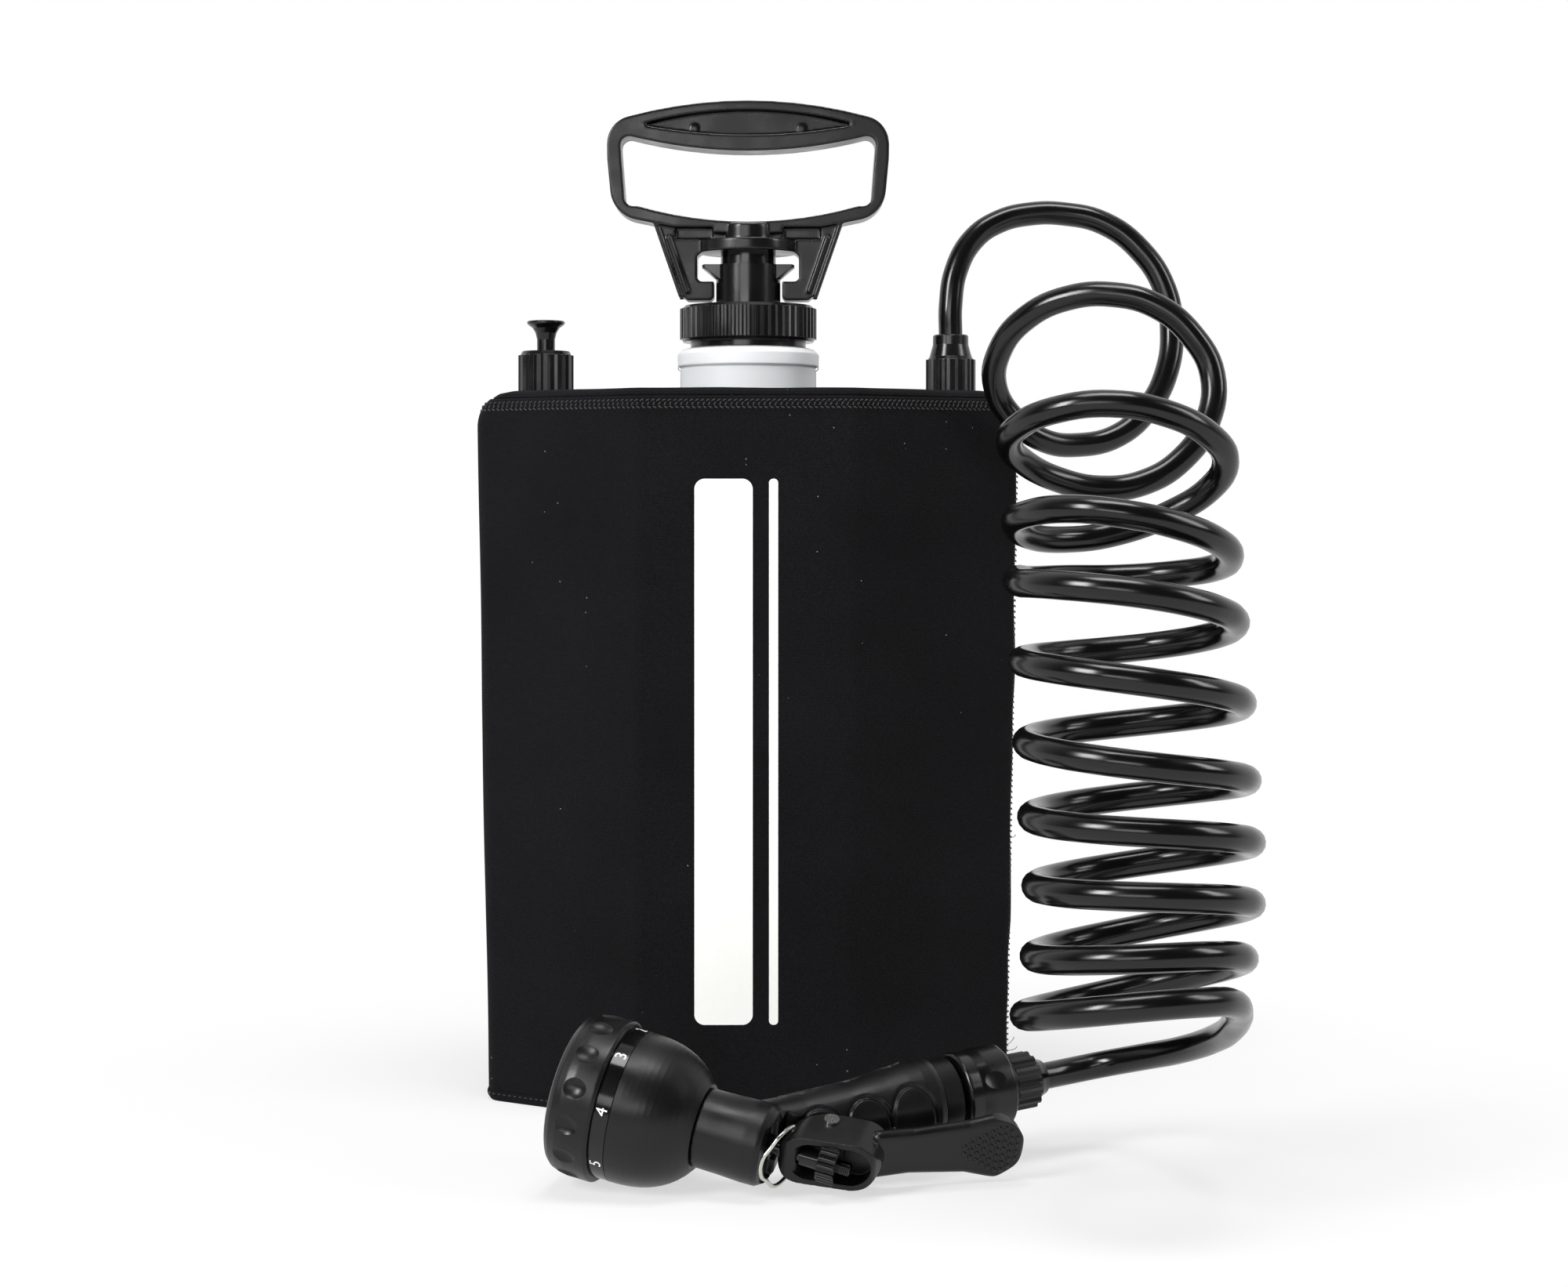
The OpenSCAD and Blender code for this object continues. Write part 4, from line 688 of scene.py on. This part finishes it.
def sleeve_sheet(name, heights, count, profile, wall):
    """A sheet of cloth round the tank through the heights, given its thickness inwards."""
    clear()
    bpy.ops.mesh.primitive_grid_add(x_subdivisions=count, y_subdivisions=len(heights) - 1, size=1)
    piece = named(name)
    columns = count + 1
    rings = [sleeve_ring(z, count, profile(z)) for z in heights]
    for i, vertex in enumerate(piece.data.vertices):
        row, column = divmod(i, columns)
        x, y, nx, ny = rings[row][0][column]
        z = heights[row]
        push = cloth_wave(x, y, z)
        vertex.co = Vector((x + nx * push, y + ny * push, z)) * MM
    layer = piece.data.uv_layers.active.data
    for loop in piece.data.loops:
        row, column = divmod(loop.vertex_index, columns)
        layer[loop.index].uv = (rings[row][1] * column / count * MM, heights[row] * MM)
    edit(piece, lambda: bpy.ops.mesh.remove_doubles(threshold=2e-5),
         lambda: bpy.ops.mesh.normals_make_consistent(inside=False))
    modify(piece, "SOLIDIFY", thickness=wall * MM, offset=-1, use_even_offset=True)
    return smooth(piece)


def stitch_seed(sizes):
    """One stitch: a rounded piece of thread along X, sunk a little at its ends."""
    clear()
    size = (sizes.stitch_length, sizes.thread_width, sizes.thread_width * 0.8)
    bpy.ops.mesh.primitive_uv_sphere_add(segments=8, ring_count=6, radius=0.5, scale=size)
    return named("stitch")


class SHOWER_OT_sleeve(bpy.types.Operator):
    """Sews the neoprene sleeve: wrap, top, base, binding, seams and loose threads"""
    bl_idname = "shower.sleeve"
    bl_label = "Sleeve"

    def execute(self, context):
        sizes = context.scene.shower_sizes
        columns, length = 330, 656
        # The rows are closer at the seam, where the cloth bulges
        heights = [3.5, 5, 8, *(14 + 6.2 * i for i in range(52)),
                   333, 335.5, 338, 340.2, 342.2, 344, 345.6, 347, 348]
        wrap = sleeve_sheet("sleeve_wrap_cloth", heights, columns, lambda z: 0.35 * seam_bulge(z), 3.3)
        dress(wrap, "Neoprene_nylon_knit", "tank_unit", "sleeve_wrap")
        hem_top = sizes.hem_height / MM
        heights = [0.15, 0.5, 1.2, 2.2, 3.2, hem_top - 0.9, hem_top - 0.4, hem_top - 0.1, hem_top]
        hem = sleeve_sheet("sleeve_binding", heights, columns,
                           lambda z: 0.75 - 0.5 * abs(2 * z / hem_top - 1) ** 4, 0.7)
        dress(hem, "Neoprene_nylon_knit", "tank_unit")
        for node, flat, area in (("sleeve_top", (0.262, 0.122), 0.0232),
                                 ("sleeve_base", (0.256, 0.122), 0.0248)):
            panel = melt(copy_node(node, node + "_cloth"), 1.3, 3)
            for vertex in panel.data.vertices:
                x, y, z = vertex.co / MM
                vertex.co.z += 0.25 * MM * noise.noise(Vector((x / 30, y / 30, 0))) * (node == "sleeve_top")
            edit(panel, lambda: bpy.ops.uv.cube_project(cube_size=1.0, correct_aspect=False,
                                                        scale_to_bounds=False))
            dress(panel, "Neoprene_nylon_knit", "tank_unit", node)
        # Overlock round the top edge: two rows of slanting stitches with loops between them
        rows = []
        count = round(length / (sizes.stitch_pitch / MM))
        for z, slant, phase in ((345.8, 28, 0.0), (342.3, -28, 0.5), (344.0, 68, 0.25)):
            ring, _ = sleeve_ring(z, count, 0.35)
            for a, b in zip(ring, ring[1:]):
                x, y, nx, ny = (p + (q - p) * phase for p, q in zip(a, b))
                push = cloth_wave(x, y, z) + 0.38 * seam_bulge(z) - 0.25
                rows.append(self.place(x + nx * push, y + ny * push, z, nx, ny, slant))
        # The upright seam at the right edge, from the binding to the top's round corner
        first, pitch, count = 7, 2.8, 118
        for i in range(count):
            z = first + pitch * i
            x, y, nx, ny = sleeve_ring(z, 8)[0][0]
            for side, slant in ((-1.1, 40), (1.1, 140)):
                rows.append(self.place(x - ny * side, y + nx * side, z, nx, ny, slant))
        # Topstitching through the binding
        ring, _ = sleeve_ring(3.6, 200, 0.55)
        rows += [self.place(x, y, 3.7, nx, ny, 0) for x, y, nx, ny in ring[:-1]]
        seams = repeated("sleeve_stitches", stitch_seed(sizes), rows)
        dress(seams, "Polyester_thread", "tank_unit")
        # Loose threads on the right edge: height, rise and reach
        loose = []
        for z, way, reach in ((24, 0.5, 5), (22, -0.3, 4), (27, 1.2, 3.5), (6, -0.2, 3.5),
                              (318, 0.7, 3), (130, 0.3, 2.5)):
            x, y, _, _ = sleeve_ring(z, 8)[0][0]
            bends = [(x - 0.3, y, z), (x + 0.4 * reach, y - 1, z + way),
                     (x + 0.8 * reach, y - 0.6, z + 2.2 * way), (x + reach, y + 0.8, z + 2.6 * way + 0.6)]
            loose.append(wire("thread", bends, 0.16, sides=6))
        dress(join("sleeve_loose_threads", loose), "Polyester_thread", "tank_unit")
        return {"FINISHED"}

    def place(self, x, y, z, nx, ny, slant):
        """A stitch's place: X along the cloth, Z outwards, turned by its slant."""
        out = Vector((nx, ny, 0)).normalized()
        along = Vector((-out.y, out.x, 0))
        turn = Matrix((along, Vector((0, 0, 1)), out)).transposed().to_4x4()
        middle = Matrix.Translation(Vector((x, y, z)) * MM)
        return middle @ turn @ Matrix.Rotation(math.radians(slant), 4, "Z")


class SHOWER_OT_tank(bpy.types.Operator):
    """Finishes the polyethylene tank with its neck and ports, and what hangs in it"""
    bl_idname = "shower.tank"
    bl_label = "Tank"

    def execute(self, context):
        tank = smooth(copy_node("tank", "tank_shell"), 28)
        dress(tank, "Natural_HDPE", "tank_unit", "tank")
        # The parting line of the blow mould, where its two halves met across the neck
        lines = []
        for side in (-1, 1):
            bends = [(side * x, 0, z) for x, z in ((33.9, 352.5), (33.9, 362.6), (35.2, 363.6), (35.35, 371))]
            lines.append(wire("line", bends, 0.25, sides=6, handles="VECTOR"))
        dress(join("tank_parting_line", lines), "Natural_HDPE", "tank_unit")
        finish_nodes("Natural_HDPE", "dip_tube")
        finish_nodes("Nitrile_rubber", "dip_filter", "neck_gasket")
        return {"FINISHED"}


class SHOWER_OT_pump(bpy.types.Operator):
    """Moulds the pump's handle and finishes its barrel, rod, collar and piston"""
    bl_idname = "shower.pump"
    bl_label = "Pump"

    def execute(self, context):
        handle = copy_node("pump_handle", "handle_moulding")
        # The top corners are round: what is past them comes off both ends of the bowed top
        cut(handle, *[self.corner(side) for side in (-1, 1)])
        added = []
        for side in (-1, 1):
            for face in (-1, 1):
                # Two raised ribs down each arm of the bracket
                for (x, z), (low_x, low_z) in (((46.5, 437.0), (33.5, 399.5)),
                                               ((40.0, 430.0), (30.2, 401.5))):
                    added.append(rod((side * x, face * 8.0, z), (side * low_x, face * 8.0, low_z), 1.2))
                # Marks of the ejector pins in the grip's pocket
                added.append(rod((side * 27, face * 4.2, 484.5), (side * 27, face * 4.9, 484.5), 2.3,
                                 sides=24))
        handle = melt(join("handle_moulding", [handle, *added]), 0.7, 5)
        dress(handle, "Satin_polypropylene", "handle", "pump_handle")
        finish_nodes("Smooth_polypropylene", "pump_barrel", "pump_collar", "pump_rod", "piston")
        finish_nodes("Nitrile_rubber", "foot_valve", "piston_seal")
        return {"FINISHED"}

    def corner(self, side, half=70.6, top=498.0, bow=229.2, radius=14.0, reach=20.0):
        """What comes off a top corner of the handle, where a round takes over from the bowed top and the
        side, in millimetres."""
        x, r = half - radius, bow - radius
        z = top - bow + math.sqrt(r * r - x * x)
        past = block((side * (x * bow / r + reach / 2), 0, z + reach / 2), (reach, 40, reach))
        return cut(past, round_bar((side * x, 0, z), radius, 60))


class SHOWER_OT_valves(bpy.types.Operator):
    """Finishes the relief valve and the outlet on the tank's two ports"""
    bl_idname = "shower.valves"
    bl_label = "Relief valve and outlet"

    def execute(self, context):
        finish_nodes("Smooth_polypropylene", "relief_nut", "outlet_fitting", "outlet_nut", "hose_ferrule")
        finish_nodes("Polished_ABS", "relief_stem")
        finish_nodes("Nitrile_rubber", "relief_seal", "outlet_gasket")
        finish_nodes("Nickel_plated_steel", "relief_spring")
        return {"FINISHED"}


class SHOWER_OT_head(bpy.types.Operator):
    """Moulds the nozzle's turning bezel, its numbered ring and its dome"""
    bl_idname = "shower.head"
    bl_label = "Nozzle head"

    def execute(self, context):
        sizes = context.scene.shower_sizes
        bezel = melt(copy_node("bezel", "bezel_moulding"), 0.6, 2)
        # Fourteen broad finger ovals, longer along the nozzle than round it
        count, x, radius = 14, -17.6, 38.55
        dimples = []
        for k in range(count):
            a = math.radians(90 + 360 * k / count)
            middle = Vector((x, 0, 0)) + Vector((0, math.cos(a), math.sin(a))) * radius
            dimples.append(ball(middle, (7.6, 5.0, 6.5), NOZZLE, turn=(a, 0, 0), segments=40))
        smooth(cut(bezel, *dimples), 25)
        dress(bezel, "Grained_ABS", "turret", "bezel")
        # The numbers of the eight patterns, read with their heads towards the spray
        x, radius, up = -3.6, 32.68, Vector((-1, 0, 0))
        digits = []
        for k in range(8):
            clear()
            bpy.ops.object.text_add()
            text = context.object.data
            text.body, text.size, text.extrude = str(k + 1), sizes.digit_height * 1.4, 0.00012
            text.align_x, text.align_y = "CENTER", "CENTER"
            bpy.ops.object.convert(target="MESH")
            a = math.radians(45 * k + 17)
            out = Vector((0, math.cos(a), math.sin(a)))
            turn = Matrix((up.cross(out), up, out)).transposed().to_4x4()
            place = Matrix.Translation((Vector((x, 0, 0)) + out * radius) * MM)
            digits.append(named("digit", NOZZLE @ place @ turn))
            edit(digits[-1], lambda: bpy.ops.mesh.remove_doubles(threshold=1e-6))
        dress(join("ring_numbers", digits), "Pad_print_ink", "turret")
        finish_nodes("Polished_ABS", "label_ring")
        finish_nodes("Grained_ABS", "face_plate", "nozzle_dome")
        finish_nodes("Nitrile_rubber", "turret_seal")
        return {"FINISHED"}


def grip_point(s, degrees, depth=0.0):
    """A point on the grip's skin, in millimetres: s along it, and the angle from the lever's side up."""
    profile = ((10, 13.5), (30, 13.5), (52, 14.8), (68, 16.5), (78, 18.2), (85, 19), (90, 18.7), (93, 17.8))
    radius = profile[0][1]
    for (s0, r0), (s1, r1) in zip(profile, profile[1:]):
        if s0 <= s <= s1:
            radius = r0 + (r1 - r0) * (s - s0) / (s1 - s0)
    a = math.radians(degrees)
    return (s, -(radius - depth) * math.cos(a), (radius - depth) * math.sin(a))


class SHOWER_OT_body(bpy.types.Operator):
    """Moulds the nozzle's body with its grip, grooves and ribbed pad"""
    bl_idname = "shower.body"
    bl_label = "Nozzle body"

    def execute(self, context):
        body = copy_node("nozzle_body", "nozzle_moulding")
        arch = ((0, 8), (0.5, 36), (4, 56), (9, 64), (14, 58), (18, 42), (20, 22), (21, 4))
        tools = []
        for face in (1, -1):
            for s in (24, 46, 67):
                bends = [grip_point(s + u, a if face > 0 else 180 - a, 0.1) for u, a in arch]
                tools.append(wire("groove", bends, 1.15, GRIP))
        melt(cut(body, *tools), 0.62, 3)
        dress(body, "Grained_ABS", "tank_unit", "nozzle_body")
        finish_nodes("Nitrile_rubber", "grip_pad")
        return {"FINISHED"}


class SHOWER_OT_trigger(bpy.types.Operator):
    """Moulds the trigger and its bumps, and finishes the valve, knob, pin and clip"""
    bl_idname = "shower.trigger"
    bl_label = "Trigger and valve"

    def execute(self, context):
        sizes = context.scene.shower_sizes
        trigger = copy_node("trigger", "trigger_moulding")
        # Bumps under the thumb in nine rows, wider towards the tip and narrower again on its round end
        radius, first, row_pitch, pitch = 0.5 * sizes.bump_diameter / MM, 58, 2.9, 3.6
        bumps = []
        for row in range(9):
            u = first + row_pitch * row
            v = -11.35 - 0.8 * min(max((u - 60) / 14, 0), 1)
            half = min(2 + 1.9 * row, 12.5) if row < 7 else (10.5 if row == 7 else 6.5)
            count = max(int(2 * half / pitch), 1)
            for k in range(count + 1):
                middle = self.on_lever(u, v, (k - count / 2) * pitch)
                bumps.append(ball(middle, (radius, 0.75, radius), NOZZLE, turn=(0, 0, LEVER_ANGLE),
                                  segments=12))
        # The ring's far end is closed behind the stem, and the tip is round across
        wall = block((99.75, 10.3, 0), (16.5, 2.2, 19), matrix=NOZZLE)
        trigger = melt(join("trigger_moulding", [trigger, wall]), 0.45, 3)
        past = block(self.on_lever(85, -9, 0), (30, 24, 50), LEVER_ANGLE, NOZZLE)
        cut(trigger, cut(past, round_bar(self.on_lever(70, -9, 0), 15, 40, LEVER_ANGLE, NOZZLE)))
        smooth(trigger, 40)
        dress(trigger, "Grained_ABS", "trigger", "trigger")
        dress(join("lever_bumps", bumps), "Grained_ABS", "trigger")
        # The clip runs from one eye over the lever's root to the other
        side = 12.7
        half = [(72.5, 1.5, 9.5), (72.5, 1.5, side - 0.5), (72.3, 0.9, side), (69.3, -8.6, side),
                (66.7, -12.2, 8), (64.9, -14.8, 4.5)]
        clip = wire("clip_wire", half + [(x, y, -z) for x, y, z in reversed(half)], 0.9, NOZZLE, sides=12)
        dress(clip, "Nickel_plated_steel", "clip", "lock_clip")
        # Ribs round the flow knob
        count, radius = 16, 8.0
        ribs = []
        for k in range(count):
            a = 2 * math.pi * k / count
            y, z = radius * math.cos(a), radius * math.sin(a)
            ribs.append(rod((86.5, y, z), (93.9, y, z), 0.55, NOZZLE, sides=10))
        dress(join("knob_ribs", ribs), "Polished_ABS", "knob")
        # The thread on the stem's end, one ring to each turn
        first, pitch, radius, depth = 95.2, 0.8, 2.8, 0.3
        threads = []
        for k in range(6):
            clear()
            bpy.ops.mesh.primitive_torus_add(
                location=((first + pitch * k) * MM, 0, 0), rotation=(0, math.pi / 2, 0), major_segments=24,
                minor_segments=6, major_radius=radius * MM, minor_radius=depth * MM)
            threads.append(named("thread", NOZZLE))
        # The stem and its thread get the dark grey steel colour
        dress(join("stem_threads", threads), "Blackened_steel", "stem")
        finish_nodes("Satin_polypropylene", "gland_nut")
        finish_nodes("Nitrile_rubber", "stem_seal")
        finish_nodes("Blackened_steel", "valve_stem")
        finish_nodes("Nickel_plated_steel", "valve_spring", "trigger_pin")
        finish_nodes("Polished_ABS", "flow_knob")
        return {"FINISHED"}

    def on_lever(self, u, v, w):
        """A point of the lever in the nozzle's frame, in millimetres: u along it, v towards the grip and w
        across, from the pin."""
        c, s = math.cos(LEVER_ANGLE), math.sin(LEVER_ANGLE)
        return Vector((85.8 + u * c - v * s, 13.5 + u * s + v * c, w))


class SHOWER_OT_coupler(bpy.types.Operator):
    """Moulds the coupler's sliding sleeve and finishes the adaptor, nut and ferrule"""
    bl_idname = "shower.coupler"
    bl_label = "Coupler"

    def execute(self, context):
        sleeve = copy_node("coupler_sleeve", "coupler_moulding")
        # Three thumb ovals round the sleeve
        x, radius = 117.5, 21.6
        ovals = []
        for degrees in (48, 168, 288):
            a = math.radians(degrees)
            middle = (x, -radius * math.cos(a), radius * math.sin(a))
            ovals.append(ball(middle, (9.0, 4.0, 8.6), GRIP, turn=(-a, 0, 0), segments=40))
        melt(cut(sleeve, *ovals), 0.5, 2)
        dress(sleeve, "Satin_polypropylene", "coupler", "coupler_sleeve")
        finish_nodes("Grained_ABS", "hose_adaptor", "coupler_body", "nozzle_nut")
        finish_nodes("Nickel_plated_steel", "coupler_spring")
        finish_nodes("Nitrile_rubber", "coupler_seal")
        finish_nodes("Polished_ABS", "nozzle_ferrule")
        return {"FINISHED"}


OPERATORS = (SHOWER_OT_stage, SHOWER_OT_hose, SHOWER_OT_sleeve, SHOWER_OT_tank, SHOWER_OT_pump,
             SHOWER_OT_valves, SHOWER_OT_head, SHOWER_OT_body, SHOWER_OT_trigger, SHOWER_OT_coupler)


class SHOWER_PT_panel(bpy.types.Panel):
    """Lists the shower's pieces, sizes and colours"""
    bl_idname = "SHOWER_PT_panel"
    bl_label = "Portable pump shower"
    bl_space_type = "VIEW_3D"
    bl_region_type = "UI"
    bl_category = "Shower"

    def draw(self, context):
        for operator in OPERATORS:
            self.layout.operator(operator.bl_idname)
        for group in (context.scene.shower_sizes, context.scene.shower_colours):
            box = self.layout.box()
            for key in group.bl_rna.properties.keys():
                if key not in ("rna_type", "name"):
                    box.prop(group, key)


CLASSES = (ShowerSizes, ShowerColours, *OPERATORS, SHOWER_PT_panel)


def register():
    for item in CLASSES:
        bpy.utils.register_class(item)
    bpy.types.Scene.shower_sizes = bpy.props.PointerProperty(type=ShowerSizes)
    bpy.types.Scene.shower_colours = bpy.props.PointerProperty(type=ShowerColours)


def unregister():
    del bpy.types.Scene.shower_sizes, bpy.types.Scene.shower_colours
    for item in reversed(CLASSES):
        bpy.utils.unregister_class(item)


def main():
    register()
    bpy.ops.shower.stage()
    bpy.ops.shower.hose()
    bpy.ops.shower.sleeve()
    bpy.ops.shower.tank()
    bpy.ops.shower.pump()
    bpy.ops.shower.valves()
    bpy.ops.shower.head()
    bpy.ops.shower.body()
    bpy.ops.shower.trigger()
    bpy.ops.shower.coupler()
    clear()


if __name__ == "__main__":
    main()
